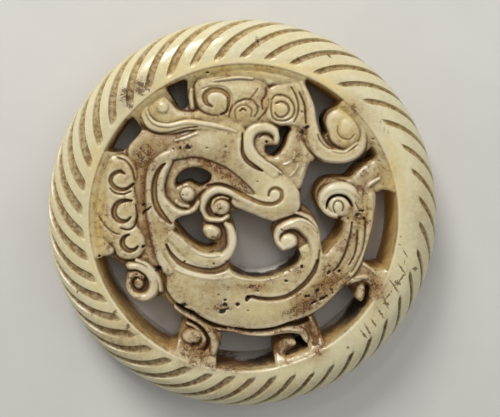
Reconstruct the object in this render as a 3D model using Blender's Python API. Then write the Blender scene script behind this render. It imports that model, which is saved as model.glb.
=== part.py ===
"""Openwork jade pendant lying on its back: a rope ring around a pierced scroll carving."""
import math

import bpy
import numpy as np
from mathutils import Vector
from mathutils.geometry import delaunay_2d_cdt

# Overall sizes, metres
DISC_DIAMETER = 0.058
DISC_THICKNESS = 0.0105
RING_WIDTH = 0.00664
FRONT_LAND = 0.00174
BACK_LAND = 0.00224

# Rope flutes on the ring
FLUTE_COUNT = 43
FLUTE_DEPTH = 0.00045
FLUTE_LEAN_START = math.radians(50.0)
FLUTE_LEAN = math.radians(36.0)
FLUTE_SHARE = 0.43
FLUTE_FLOOR_SHARE = 0.70
RIM_LAND = 0.00033

# Relief of the carving, metres below the ring's face
BODY_DROP = 0.00035
GROUND_DROP = 0.0016
RIM_STEP = 0.00018
RIM_GAP = 0.00015
RIM_SLOPE = 0.0027
CHANNEL_DEPTH = 0.0006
CREST_ROUNDING = 0.00024
EDGE_ROUNDING = 0.00022
EDGE_WIDTH = 0.00045
BACK_DROP = 0.0009
SIDE_STEEPNESS = 2.0
WEAR_RADIUS = 0.00009
BACK_WEAR_RADIUS = 0.0007

# Fineness of the facets
GRAIN = 0.0001
GRID_STEP = 0.00023
BACK_STEP = 0.002
OUTLINE_TOLERANCE = 0.00007
OUTLINE_STEP = 0.0013
FLUTE_ROWS = 3
TRIANGLE_TARGET = 9900

FIELD_RADIUS = DISC_DIAMETER / 2 - RING_WIDTH
MID_HEIGHT = DISC_THICKNESS / 2

# Plan of the carving, in thousandths of the field radius: x to the right, y up.
# Pierced openings: whether the rim closes the outline, then its points.
OPENINGS = {
    "upper_left_pair": (False, [
        (-500, 845), (-480, 866), (-430, 888), (-385, 903), (-362, 885), (-365, 810), (-355, 750),
        (-390, 716), (-428, 720), (-465, 785)]),
    "upper_left_edge": (True, [
        (-745, 648), (-710, 665), (-667, 600), (-670, 560), (-745, 480), (-785, 443), (-850, 440),
        (-878, 449)]),
    "upper_right_wedge": (True, [
        (625, 765), (600, 730), (550, 700), (523, 650), (530, 600), (546, 560), (525, 538), (495, 565),
        (468, 640), (455, 720), (425, 800), (388, 885), (400, 905)]),
    "comma": (False, [
        (225, 550), (222, 583), (262, 610), (303, 590), (285, 545), (262, 475), (200, 410), (165, 420),
        (133, 462), (150, 482), (205, 483), (228, 510)]),
    "right_channel": (False, [
        (420, 362), (445, 382), (530, 368), (640, 364), (730, 393), (800, 445), (823, 472), (855, 430),
        (850, 395), (765, 345), (720, 295), (680, 268), (600, 268), (530, 247), (487, 195), (475, 125),
        (510, 50), (590, 0), (645, -10), (642, -80), (585, -170), (520, -225), (503, -160), (492, -70),
        (460, 10), (395, 78), (365, 120), (375, 220), (400, 310)]),
    "right_slot": (True, [
        (970, 175), (930, 192), (885, 183), (862, 150), (855, 70), (845, -50), (815, -170), (792, -250),
        (810, -305), (870, -338), (925, -330)]),
    "crescent": (False, [
        (-452, 235), (-435, 285), (-390, 326), (-320, 343), (-250, 325), (-213, 290), (-225, 245),
        (-275, 210), (-310, 218), (-360, 240), (-410, 225), (-440, 212)]),
    "left_centre": (False, [
        (-455, -10), (-420, 20), (-340, 43), (-295, 55), (-268, 20), (-275, -60), (-245, -118),
        (-205, -133), (-195, -180), (-225, -212), (-300, -195), (-380, -135), (-440, -65)]),
    "centre": (False, [
        (-90, 20), (-65, 60), (-35, 73), (40, 42), (120, 8), (170, -15), (200, -55), (193, -120),
        (220, -185), (270, -210), (325, -180), (355, -195), (370, -245), (340, -298), (260, -345),
        (170, -380), (50, -385), (-60, -355), (-105, -305), (-75, -225), (-45, -140), (-65, -60)]),
    "left_edge": (True, [
        (-950, -245), (-900, -235), (-840, -262), (-775, -310), (-770, -380), (-770, -450),
        (-720, -515), (-650, -537), (-580, -512), (-530, -518), (-460, -580), (-405, -645),
        (-400, -680), (-430, -750), (-440, -820), (-460, -850), (-500, -853)]),
    "bottom": (True, [
        (-185, -970), (-187, -910), (-155, -830), (-150, -755), (-80, -757), (0, -778), (120, -786),
        (240, -772), (350, -768), (385, -800), (420, -835), (415, -870), (340, -900), (275, -915),
        (275, -885), (335, -850), (335, -812), (280, -800), (220, -830), (200, -900), (205, -966)]),
    "lower_right": (True, [
        (530, -835), (512, -780), (490, -710), (455, -648), (530, -583), (600, -513), (650, -462),
        (710, -447), (742, -470), (735, -525), (770, -545), (795, -500), (797, -443), (828, -455),
        (832, -530)]),
}

# Broad raised areas: level (0 at the crests, 1 at the ground), width and amount of the rounded
# edge, closed outline.
AREAS = [
    # Head and smooth lobe
    (0.04, 0.10, 1.5, [
        (-500, 440), (-440, 510), (-350, 555), (-260, 600), (-140, 635), (-30, 620), (20, 540), (60, 440),
        (130, 385), (220, 320), (300, 255), (350, 180), (360, 100), (330, 45), (250, 15), (170, -5),
        (60, 30), (-30, 70), (-80, 120), (-40, 170), (70, 165), (20, 235), (-100, 335), (-220, 390),
        (-330, 415), (-430, 400)]),
    # Body and plume
    (0.04, 0.15, 1.9, [
        (-610, 100), (-600, 0), (-590, -80), (-570, -190), (-535, -290), (-505, -380), (-500, -460),
        (-440, -545), (-360, -595), (-240, -662), (-100, -705), (60, -725), (240, -705), (400, -645),
        (520, -575), (620, -475), (710, -380), (760, -270), (810, -150), (845, 0), (855, 150), (800, 210),
        (720, 150), (640, 20), (600, -120), (420, -160), (250, -280), (50, -300), (-80, -250), (-220, -220),
        (-330, -180), (-420, -100), (-500, -60), (-540, 40), (-570, 100)]),
    # Panel at the top
    (0.06, 0.11, 1.7, [
        (-300, 910), (-316, 865), (-314, 800), (-298, 738), (-265, 698), (-220, 680), (-140, 670),
        (-60, 640),
        (30, 630), (100, 645), (145, 700), (158, 770), (150, 850), (110, 895), (30, 925), (-60, 938),
        (-180, 932), (-260, 922)]),
    # Ground between the ring scroll and the wedge
    (0.12, 0.03, 0.7, [
        (148, 800), (168, 850), (250, 872), (320, 885), (372, 870), (402, 800), (430, 720), (440, 640),
        (425, 590), (380, 585), (320, 612), (225, 618), (150, 655), (142, 720)]),
    (0.36, 0.04, 1.0, [
        (-320, 700), (-300, 600), (-100, 550), (20, 600), (200, 620), (400, 620), (460, 450), (400, 280),
        (340, 200), (220, 300), (100, 400), (220, 420), (280, 520), (280, 620), (150, 700)]),
    (0.45, 0.04, 1.0, [
        (70, 440), (60, 500), (90, 550), (150, 560), (195, 520), (200, 480), (150, 480), (130, 440),
        (160, 400), (100, 400)]),
    # Column of three scrolls
    (0.08, 0.05, 1.4, [
        (-860, 410), (-780, 415), (-720, 375), (-695, 300), (-712, 215), (-698, 140), (-688, 60),
        (-705, -20), (-668, -80), (-643, -145), (-660, -205), (-700, -243), (-760, -252), (-815, -232),
        (-850, -165), (-910, -120), (-940, -40), (-915, 80), (-900, 240), (-898, 350)]),
    # Leaf at the left and the recess in it
    (0.08, 0.03, 0.8, [
        (-455, 430), (-530, 418), (-592, 368), (-627, 290), (-638, 200), (-636, 100), (-624, 0),
        (-605, -100), (-585, -190), (-550, -250), (-500, -190), (-480, -100), (-440, -30), (-400, 40),
        (-440, 60), (-485, 95), (-512, 145), (-520, 200), (-512, 260), (-492, 320), (-470, 370)]),
    (0.50, 0.06, 1.0, [
        (-450, 400), (-300, 405), (-100, 340), (60, 170), (-50, 160), (-180, 220), (-260, 200), (-400, 90),
        (-500, 150), (-510, 250), (-500, 340)]),
    # Brown ground between the column, the hook and the body
    (0.42, 0.05, 1.0, [
        (-745, 430), (-700, 555), (-620, 578), (-450, 552), (-300, 588), (-400, 500), (-500, 430),
        (-590, 370), (-635, 280), (-640, 100), (-620, -50), (-590, -180), (-555, -300), (-640, -275),
        (-672, -240), (-640, -150), (-690, -40), (-698, 60), (-720, 200), (-700, 330)]),
    # Bands inside the rim
    (0.20, 0.05, 0.8, [
        (-985, -170), (-990, 0), (-965, 240), (-905, 420), (-855, 432), (-880, 300), (-890, 100),
        (-920, -50), (-900, -120), (-850, -190), (-880, -225), (-940, -235)]),
    (0.12, 0.05, 0.8, [
        (-370, 915), (-200, 965), (0, 988), (170, 975), (330, 930), (350, 885), (250, 865), (100, 900),
        (-100, 930), (-250, 915)]),
    (0.18, 0.02, 1.2, [
        (130, 935), (200, 925), (285, 893), (220, 880), (160, 865), (120, 895)]),
    # Dish of the upper right scroll and the slopes below it
    (0.16, 0.06, 1.2, [
        (560, 690), (532, 640), (540, 580), (580, 500), (660, 460), (740, 500), (755, 600), (715, 670),
        (630, 720)]),
    (0.50, 0.05, 1.2, [
        (442, 180), (452, 250), (500, 288), (600, 292), (680, 275), (725, 310), (785, 350), (860, 400),
        (965, 320), (972, 200), (860, 170), (740, 180), (640, 240), (520, 230)]),
    (0.16, 0.03, 0.8, [
        (560, 60), (548, 100), (565, 135), (605, 150), (650, 140), (685, 100), (695, 60), (670, 30),
        (620, 25), (590, 40)]),
    (0.50, 0.05, 1.2, [
        (740, -260), (700, -400), (800, -440), (900, -500), (970, -300), (860, -320)]),
]

# Flat-topped strands: level, then points (x, y, half width).
STRANDS = [
    # Hook scroll at the upper left and the strand that leaves it
    (0.12, [(-622, 722, 13), (-640, 682, 20), (-626, 640, 24), (-592, 604, 25), (-550, 587, 24),
            (-500, 583, 24), (-450, 590, 25), (-380, 608, 26), (-300, 612, 28), (-200, 600, 32),
            (-120, 590, 36)]),
    (0.20, [(-335, 835, 7), (-339, 780, 12), (-331, 722, 8)]),
    (0.06, [(-440, 515, 8), (-380, 532, 11), (-300, 563, 10)]),
    # Big scroll at the upper right
    (0.04, [(362, 885, 14), (402, 800, 20), (426, 720, 27), (434, 630, 32), (452, 525, 42), (500, 445, 46),
            (580, 408, 42), (670, 413, 38), (742, 460, 30), (768, 530, 20), (755, 600, 14), (715, 650, 8)]),
    # Central scroll under the panel
    (0.00, [(203, 502, 14), (208, 550, 20), (168, 590, 25), (105, 598, 29), (50, 574, 31), (25, 522, 32),
            (31, 462, 32), (67, 404, 32), (122, 354, 34), (190, 302, 34)]),
    (0.22, [(325, 440, 6), (318, 400, 9), (285, 368, 8), (252, 358, 5)]),
    (0.20, [(345, 352, 5), (335, 325, 8), (298, 283, 6)]),
    (0.26, [(365, 500, 12), (390, 430, 16), (388, 360, 16), (360, 280, 12)]),
    # Middle left scroll and its long strand
    (0.00, [(30, 118, 26), (-40, 152, 23), (-100, 182, 20), (-170, 194, 19), (-228, 172, 20),
            (-262, 125, 18),
            (-272, 65, 12), (-245, 14, 11), (-200, 0, 10), (-150, 0, 10), (-112, 20, 8)]),
    (0.30, [(-105, 138, 7), (-150, 148, 9), (-192, 130, 9), (-207, 92, 8), (-195, 52, 7)]),
    # Scroll below it
    (0.00, [(-122, -24, 7), (-86, -70, 23), (-75, -125, 26), (-79, -178, 25), (-108, -228, 28),
            (-160, -262, 32), (-220, -275, 37), (-275, -268, 39), (-325, -243, 40), (-370, -208, 39),
            (-410, -168, 37), (-450, -130, 34), (-490, -100, 28)]),
    # Leaf
    (0.02, [(-497, 345, 8), (-522, 300, 15), (-538, 240, 20), (-540, 190, 21), (-530, 140, 22),
            (-490, 88, 23), (-437, 52, 21), (-375, 45, 16), (-325, 70, 12), (-295, 112, 8)]),
    (0.38, [(-440, 120, 13), (-405, 97, 15), (-365, 88, 11)]),
    (0.02, [(-455, 430, 34), (-530, 402, 27), (-590, 348, 20), (-615, 270, 14), (-621, 180, 13),
            (-619, 90, 13), (-606, 0, 15), (-590, -90, 18), (-567, -170, 22), (-542, -250, 26),
            (-495, -330, 32)]),
    # Scroll right of the centre
    (0.00, [(255, -185, 18), (215, -145, 16), (213, -92, 18), (248, -55, 21), (305, -30, 26),
            (365, -32, 36),
            (412, -62, 40), (445, -112, 36), (458, -180, 27), (455, -250, 22), (435, -310, 20),
            (380, -370, 18)]),
    (0.22, [(335, 45, 8), (378, 30, 10), (425, 5, 10), (462, -35, 10), (485, -85, 10), (490, -150, 9),
            (487, -210, 7)]),
    (0.18, [(405, -215, 16), (410, -280, 20), (360, -345, 18)]),
    # Right scroll and the plume that falls from it
    (0.00, [(592, 26, 16), (545, 40, 22), (510, 88, 24), (520, 145, 29), (562, 190, 34), (620, 203, 38),
            (680, 186, 38), (722, 140, 36), (740, 90, 34), (738, 30, 32), (715, -25, 31), (690, -90, 31),
            (656, -170, 32), (612, -245, 32), (555, -310, 26)]),
    (0.06, [(757, -20, 18), (760, -100, 22), (743, -180, 24), (712, -260, 26), (660, -335, 28),
            (580, -390, 26)]),
    (0.10, [(818, 160, 18), (818, 60, 24), (812, -30, 23), (798, -110, 20), (775, -200, 18),
            (742, -290, 18),
            (690, -370, 20), (610, -440, 22)]),
    (0.10, [(752, 178, 12), (774, 125, 13), (784, 60, 10)]),
    (0.16, [(876, 266, 9), (830, 240, 13), (796, 205, 12), (800, 150, 10)]),
    # Hook at the lower right
    (0.20, [(675, -425, 12), (720, -402, 18), (770, -385, 22), (817, -400, 22), (848, -445, 18),
            (855, -520, 12)]),
    (0.30, [(785, -300, 10), (840, -335, 12), (875, -390, 12), (888, -460, 10)]),
    # Free scroll at the lower left
    (0.00, [(-745, -300, 18), (-685, -305, 22), (-625, -345, 26), (-592, -400, 26), (-595, -460, 26),
            (-635, -503, 24), (-690, -508, 22), (-738, -472, 20), (-757, -420, 18), (-742, -370, 16),
            (-705, -352, 14), (-668, -372, 12)]),
    (0.10, [(-700, -262, 10), (-640, -287, 11), (-590, -340, 11), (-556, -400, 11), (-548, -460, 10)]),
    # Scroll and thin strand at the bottom left
    (0.12, [(-445, -587, 10), (-380, -626, 11), (-312, -668, 13), (-255, -722, 16), (-216, -782, 20),
            (-198, -838, 20), (-206, -885, 14)]),
    (0.48, [(-375, -688, 8), (-328, -708, 12), (-286, -748, 14), (-266, -795, 14), (-282, -838, 13),
            (-315, -858, 9)]),
    (0.45, [(-420, -868, 8), (-350, -905, 12), (-270, -940, 12), (-200, -962, 8)]),
    # Thin strand and hook at the bottom right
    (0.30, [(-170, -722, 8), (-80, -738, 8), (0, -757, 10), (100, -765, 13), (170, -761, 14),
            (225, -750, 13),
            (275, -743, 13), (335, -744, 14), (378, -757, 18), (402, -788, 18), (403, -822, 13)]),
    (0.30, [(251, -908, 5), (244, -872, 19), (266, -838, 25), (305, -826, 22), (332, -826, 13)]),
    (0.45, [(436, -660, 12), (456, -720, 18), (474, -780, 22), (475, -840, 20), (465, -882, 12)]),
]

# Rounded bosses: level, x, y, half length, half width, turn in degrees.
BOSSES = [
    (0.00, -520, 725, 36, 35, 0),
    (0.06, 235, 720, 38, 36, 0),
    (0.04, 655, 598, 60, 46, 85),
    (0.00, -150, 83, 45, 43, 0),
    (0.00, -212, -80, 48, 40, -30),
    (0.00, -367, 172, 42, 40, 90),
    (0.00, 285, -147, 50, 47, 0),
    (0.02, 607, 84, 36, 27, 75),
    (0.20, 768, -487, 46, 24, 75),
    (0.15, -692, -412, 32, 27, 90),
    (0.24, -345, -775, 55, 44, 0),
]

# Incised channels: depth share, then points (x, y, half width).
CHANNELS = [
    # Panel spiral, its outer line, the eye and the lines beside it
    (0.80, [(-205, 730, 6), (-243, 755, 17), (-250, 800, 22), (-215, 833, 21), (-150, 833, 19),
            (-105, 800, 17),
            (-100, 750, 12), (-115, 700, 9), (-150, 680, 6)]),
    (0.60, [(-100, 660, 5), (-85, 715, 7), (-50, 755, 8), (0, 775, 8), (45, 772, 8), (75, 745, 8),
            (87, 705, 7),
            (65, 665, 5)]),
    (0.70, [(140, 850, 6), (135, 800, 8), (113, 765, 8), (118, 710, 5)]),
    # Ring scroll and the lines round it
    (0.70, [(195, 690, 5), (220, 664, 8), (255, 667, 9), (281, 692, 9), (285, 723, 9), (268, 748, 9),
            (235, 761, 8),
            (200, 750, 5)]),
    (0.60, [(172, 770, 5), (200, 800, 8), (250, 801, 8), (290, 780, 8), (315, 742, 8), (321, 700, 8),
            (302, 660, 8),
            (258, 640, 8), (203, 645, 8), (178, 672, 7), (170, 720, 6), (175, 760, 4)]),
    (0.65, [(352, 820, 5), (385, 745, 8), (391, 680, 8), (396, 622, 6)]),
    # Line under the hook strand
    (0.65, [(-657, 662, 5), (-632, 603, 7), (-600, 578, 8), (-550, 561, 8), (-500, 562, 8), (-450, 573, 8),
            (-380, 592, 8), (-300, 602, 6)]),
    # Leaf slot beside the central scroll
    (1.00, [(-12, 560, 4), (-14, 500, 7), (-12, 440, 13), (12, 390, 16), (45, 360, 16), (85, 335, 13),
            (118, 318, 5)]),
    # Long incised spiral on the smooth lobe
    (0.70, [(-240, 222, 9), (-160, 232, 11), (-90, 208, 13), (-20, 168, 15), (60, 128, 15), (130, 106, 15),
            (195, 107, 15), (238, 138, 15), (238, 185, 14), (200, 206, 13), (166, 190, 11), (156, 156, 7)]),
    # Leaf slot at the left
    (1.00, [(-508, 368, 4), (-532, 348, 12), (-560, 305, 17), (-577, 250, 20), (-582, 190, 22),
            (-577, 130, 23),
            (-560, 80, 24), (-535, 40, 22), (-505, 5, 16), (-475, -20, 8)]),
    # Slots on the body
    (1.00, [(-508, -158, 6), (-480, -215, 12), (-440, -262, 17), (-400, -292, 20), (-300, -326, 22),
            (-200, -335, 23),
            (-130, -312, 27), (-85, -275, 22)]),
    (0.90, [(15, -512, 9), (50, -507, 13), (100, -518, 14), (180, -523, 15), (270, -508, 16),
            (345, -465, 17),
            (410, -405, 18), (458, -335, 17), (480, -270, 11)]),
    # Three scrolls of the left column
    (0.90, [(-768, 302, 6), (-800, 317, 13), (-845, 295, 15), (-858, 250, 16), (-820, 208, 15),
            (-765, 202, 13),
            (-715, 235, 8)]),
    (0.90, [(-735, 22, 6), (-760, -2, 12), (-800, -4, 18), (-835, 25, 21), (-840, 70, 21), (-820, 108, 19),
            (-780, 128, 15), (-728, 128, 8)]),
    (0.55, [(-700, 100, 5), (-694, 40, 7), (-700, -5, 7), (-716, -42, 8), (-752, -60, 9), (-800, -50, 6)]),
    (0.90, [(-690, -168, 6), (-712, -190, 13), (-750, -196, 19), (-784, -170, 21), (-790, -135, 19),
            (-775, -107, 14), (-746, -92, 7)]),
    # Lines of the upper right and right scrolls
    (0.35, [(600, 606, 5), (602, 565, 8), (630, 530, 9), (680, 522, 8), (705, 550, 5)]),
    # Long lines of the plume
    (0.70, [(700, -20, 6), (690, -100, 8), (670, -180, 9), (645, -250, 9), (610, -312, 8), (580, -340, 5)]),
    # Deep slots between the body and the thin strands
    (2.20, [(-440, -562, 12), (-400, -590, 15), (-340, -620, 15), (-280, -662, 13), (-200, -706, 11),
            (-120, -724, 7)]),
    (2.60, [(-60, -722, 6), (0, -735, 9), (50, -740, 10), (100, -740, 10), (160, -733, 10), (210, -723, 10),
            (255, -710, 13), (305, -697, 19), (355, -690, 25), (410, -672, 22)]),
]


def spline(points, closed, steps):
    """Catmull-Rom curve through points in thousandths, as an array of samples in shares."""
    p = np.array(points, dtype=float) / 1000.0
    n = len(p)
    rows = []
    spans = n if closed else n - 1
    t = np.arange(steps)[:, None] / steps
    for i in range(spans):
        if closed:
            a, b, c, d = p[(i - 1) % n], p[i], p[(i + 1) % n], p[(i + 2) % n]
        else:
            b, c = p[i], p[i + 1]
            a = p[i - 1] if i > 0 else 2 * b - c
            d = p[i + 2] if i + 2 < n else 2 * c - b
        rows.append(0.5 * (2 * b + (c - a) * t + (2 * a - 5 * b + 4 * c - d) * t ** 2
                           + (3 * b - 3 * c + d - a) * t ** 3))
    if not closed:
        rows.append(p[-1:])
    return np.concatenate(rows)


def chain_distance(x, y, path, closed=False):
    """Distance from points to a chain, and the third column of the chain at the foot."""
    a = path
    b = np.roll(path, -1, axis=0)
    if not closed:
        a, b = a[:-1], b[:-1]
    best = np.full(x.shape, np.inf)
    value = np.zeros(x.shape)
    for p, q in zip(a, b):
        dx, dy = q[0] - p[0], q[1] - p[1]
        length = dx * dx + dy * dy
        if length < 1e-14:
            continue
        t = np.clip(((x - p[0]) * dx + (y - p[1]) * dy) / length, 0.0, 1.0)
        dist = (x - p[0] - t * dx) ** 2 + (y - p[1] - t * dy) ** 2
        near = dist < best
        best[near] = dist[near]
        if len(p) > 2:
            value[near] = (p[2] + t * (q[2] - p[2]))[near]
    return np.sqrt(best), value


def is_inside(x, y, loop):
    """Even-odd test of points against a closed loop."""
    inside = np.zeros(x.shape, dtype=bool)
    for p, q in zip(loop, np.roll(loop, -1, axis=0)):
        if p[1] == q[1]:
            continue
        crosses = (p[1] > y) != (q[1] > y)
        inside ^= crosses & (x < (q[0] - p[0]) * (y - p[1]) / (q[1] - p[1]) + p[0])
    return inside


def near_mask(x, y, path, margin):
    """Points inside the chain's bounding box grown by a margin."""
    low, high = path[:, :2].min(axis=0) - margin, path[:, :2].max(axis=0) + margin
    return (x > low[0]) & (x < high[0]) & (y > low[1]) & (y < high[1])


def level_height(level):
    """Height against the ring's face for a relief level."""
    return -(BODY_DROP + level * (GROUND_DROP - BODY_DROP))


def falling_side(distance):
    """How far a side has dropped at a distance outside its form."""
    return distance * FIELD_RADIUS * SIDE_STEEPNESS


def sharp_relief(x, y):
    """Height of the carved front against the ring's face before wear, for plan points in shares."""
    radius = np.hypot(x, y)
    inward = np.clip((1.0 - radius) * FIELD_RADIUS / RIM_SLOPE, 0.0, 1.0)
    height = -RIM_STEP - (GROUND_DROP - RIM_STEP) * inward * inward * (3.0 - 2.0 * inward)
    reach = 0.06
    for level, softness, rounding, outline in AREAS:
        loop = spline(outline, True, 6)
        pick = near_mask(x, y, loop, reach)
        px, py = x[pick], y[pick]
        dist, _ = chain_distance(px, py, loop, True)
        inside = is_inside(px, py, loop)
        edge = np.clip(1.0 - dist / softness, 0.0, 1.0) ** 2
        brow = level_height(level) - CREST_ROUNDING * rounding
        form = np.where(inside, brow + CREST_ROUNDING * rounding * (1.0 - edge), brow - falling_side(dist))
        height[pick] = np.maximum(height[pick], form)
    for level, points in STRANDS:
        path = spline(points, False, 6)
        pick = near_mask(x, y, path, reach + 0.04)
        dist, half = chain_distance(x[pick], y[pick], path)
        share = np.clip(dist / half, 0.0, 1.0)
        form = level_height(level) - CREST_ROUNDING * share ** 3 - falling_side(np.maximum(dist - half, 0.0))
        height[pick] = np.maximum(height[pick], form)
    for level, cx, cy, long_half, short_half, turn in BOSSES:
        c, s = math.cos(math.radians(turn)), math.sin(math.radians(turn))
        dx, dy = x - cx / 1000.0, y - cy / 1000.0
        q = 1000.0 * np.hypot((dx * c + dy * s) / long_half, (-dx * s + dy * c) / short_half)
        outside = np.maximum(q - 1.0, 0.0) * short_half / 1000.0
        form = level_height(level) - CREST_ROUNDING * np.minimum(q, 1.0) ** 4 - falling_side(outside)
        height = np.maximum(height, form)
    for depth, points in CHANNELS:
        path = spline(points, False, 6)
        pick = near_mask(x, y, path, 0.04)
        dist, half = chain_distance(x[pick], y[pick], path)
        cut = np.clip((half - dist) / (0.45 * half), 0.0, 1.0)
        height[pick] -= CHANNEL_DEPTH * depth * cut * cut * (3.0 - 2.0 * cut)
    return np.where(radius >= 1.0, 0.0, np.minimum(height, 0.0))


def eased_edges(x, y, loops):
    """How far the edges beside the openings are rounded off."""
    width = EDGE_WIDTH / FIELD_RADIUS
    drop = np.zeros(x.shape)
    for loop in loops:
        pick = near_mask(x, y, loop, width)
        px, py = x[pick], y[pick]
        dist, _ = chain_distance(px, py, loop, True)
        dist = np.where(is_inside(px, py, loop), 0.0, dist)
        drop[pick] = np.maximum(drop[pick], EDGE_ROUNDING * np.clip(1.0 - dist / width, 0.0, 1.0) ** 2)
    return drop


def worn(grid, radius):
    """Grid of heights with its edges worn round."""
    reach = max(1, math.ceil(2.5 * radius / GRAIN))
    offsets = np.arange(-reach, reach + 1)
    weights = np.exp(-0.5 * (offsets * GRAIN / radius) ** 2)
    weights /= weights.sum()
    for axis in (0, 1):
        padded = np.pad(grid, [(reach, reach) if k == axis else (0, 0) for k in (0, 1)], mode="edge")
        n = grid.shape[axis]
        grid = sum(w * np.take(padded, np.arange(i, i + n), axis=axis) for i, w in enumerate(weights))
    return grid


def carved_grids(loops):
    """Heights of the worn front and of the plainer back on a square grid of plan points."""
    side = np.arange(-1.03, 1.03, GRAIN / FIELD_RADIUS)
    x, y = np.meshgrid(side, side)
    shape = x.shape
    sharp = sharp_relief(x.ravel(), y.ravel())
    front = sharp - eased_edges(x.ravel(), y.ravel(), loops)
    front = worn(front.reshape(shape), WEAR_RADIUS)
    sunk = worn(np.clip(-sharp.reshape(shape) / GROUND_DROP, 0.0, 1.0), BACK_WEAR_RADIUS)
    rise = np.clip((np.hypot(x, y) - 0.93) / 0.07, 0.0, 1.0)
    back = BACK_DROP * (0.75 + 0.5 * sunk) * (1.0 - rise ** 2)
    return side, front, back


def sampled(side, grid, points):
    """Values of the grid at plan points."""
    step = side[1] - side[0]
    u = (points[:, 0] - side[0]) / step
    v = (points[:, 1] - side[0]) / step
    i, j = np.floor(u).astype(int), np.floor(v).astype(int)
    fu, fv = u - i, v - j
    low = grid[j, i] * (1 - fu) + grid[j, i + 1] * fu
    high = grid[j + 1, i] * (1 - fu) + grid[j + 1, i + 1] * fu
    return low * (1 - fv) + high * fv


def simplify(loop, tolerance, longest):
    """Fewest samples of a closed loop that keep within a tolerance of it."""
    def walk(i, j):
        a, b = loop[i], loop[j]
        span = b - a
        length = math.hypot(span[0], span[1])
        if j - i < 2:
            return []
        mid = loop[i + 1:j]
        if length < 1e-12:
            gap = np.hypot(mid[:, 0] - a[0], mid[:, 1] - a[1])
        else:
            gap = np.abs((mid[:, 0] - a[0]) * span[1] - (mid[:, 1] - a[1]) * span[0]) / length
        k = int(np.argmax(gap))
        if gap[k] < tolerance:
            if length <= longest:
                return []
            k = len(mid) // 2
        k += i + 1
        return walk(i, k) + [k] + walk(k, j)
    n = len(loop)
    loop = np.concatenate([loop, loop[:1]])
    half = n // 2
    keep = [0] + walk(0, half) + [half] + walk(half, n)
    return loop[keep]


def opening_loops(tolerance, longest):
    """Plan outlines of the openings, in shares; the rim closes those that reach it."""
    loops = []
    rim_share = 1.0 - RIM_GAP / FIELD_RADIUS
    for meets_rim, points in OPENINGS.values():
        loop = spline(points, not meets_rim, 12)
        if meets_rim:
            begin = math.atan2(loop[0, 1], loop[0, 0])
            end = math.atan2(loop[-1, 1], loop[-1, 0])
            sweep = math.remainder(begin - end, 2 * math.pi)
            steps = max(3, round(abs(sweep) / math.radians(1.0)))
            angle = end + sweep * np.arange(0, steps + 1) / steps
            loop = np.concatenate([loop[1:-1], rim_share * np.stack([np.cos(angle), np.sin(angle)], axis=1)])
        loops.append(simplify(loop, tolerance / FIELD_RADIUS, longest / FIELD_RADIUS))
    return loops


def fill_plan(rim, loops, step):
    """Triangles between the rim loop and the openings; returns interior points and faces."""
    rows = np.arange(-1.05, 1.05, step * math.sqrt(3) / 2)
    cols = np.arange(-1.05, 1.05, step)
    gx, gy = np.meshgrid(cols, rows)
    gx[1::2] += step / 2
    gx, gy = gx.ravel(), gy.ravel()
    keep = np.hypot(gx, gy) < np.hypot(rim[:, 0], rim[:, 1]).min() - 0.6 * step
    gx, gy = gx[keep], gy[keep]
    keep = np.ones(gx.shape, dtype=bool)
    for loop in loops:
        pick = near_mask(gx, gy, loop, step)
        dist, _ = chain_distance(gx[pick], gy[pick], loop, True)
        bad = is_inside(gx[pick], gy[pick], loop) | (dist < 0.55 * step)
        keep[np.flatnonzero(pick)[bad]] = False
    inner = np.stack([gx[keep], gy[keep]], axis=1)
    chains = [rim] + loops
    points = np.concatenate(chains + [inner])
    edges = []
    start = 0
    for chain in chains:
        n = len(chain)
        edges += [(start + i, start + (i + 1) % n) for i in range(n)]
        start += n
    result = delaunay_2d_cdt([Vector(p) for p in points.tolist()], edges, [], 0, 1e-7)
    source = [ids[0] for ids in result[3]]
    faces = np.array([[source[i] for i in face] for face in result[2]])
    centre = points[faces].mean(axis=1)
    keep = is_inside(centre[:, 0], centre[:, 1], rim)
    for loop in loops:
        keep &= ~is_inside(centre[:, 0], centre[:, 1], loop)
    return inner, faces[keep]


def ring_section():
    """Ring outline from its inner front edge over the outside to its inner back edge."""
    angles = np.linspace(0.0, math.pi / 2, 121)
    outer = DISC_DIAMETER / 2
    front_r = outer - (RING_WIDTH - FRONT_LAND) * (1.0 - np.sin(angles))
    back_r = outer - (RING_WIDTH - BACK_LAND) * (1.0 - np.sin(angles))
    height = MID_HEIGHT * np.cos(angles)
    r = np.concatenate([[FIELD_RADIUS], front_r, back_r[-2::-1], [FIELD_RADIUS]])
    z = np.concatenate([[DISC_THICKNESS], MID_HEIGHT + height, MID_HEIGHT - height[-2::-1], [0.0]])
    run = np.concatenate([[0.0], np.cumsum(np.hypot(np.diff(r), np.diff(z)))])
    return r, z, run


def flute_turn(r, run):
    """Angle that a flute has swept round the ring at each distance along the section."""
    along = np.linspace(0.0, run[-1], 1201)
    share = np.clip((along / FIELD_RADIUS - 0.03) / 0.17, 0.0, 1.0)
    lean = FLUTE_LEAN_START + (FLUTE_LEAN - FLUTE_LEAN_START) * share
    rate = 1.0 / (np.tan(lean) * np.interp(along, run, r))
    turn = np.concatenate([[0.0], np.cumsum((rate[1:] + rate[:-1]) / 2 * np.diff(along))])
    return along, turn


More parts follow.
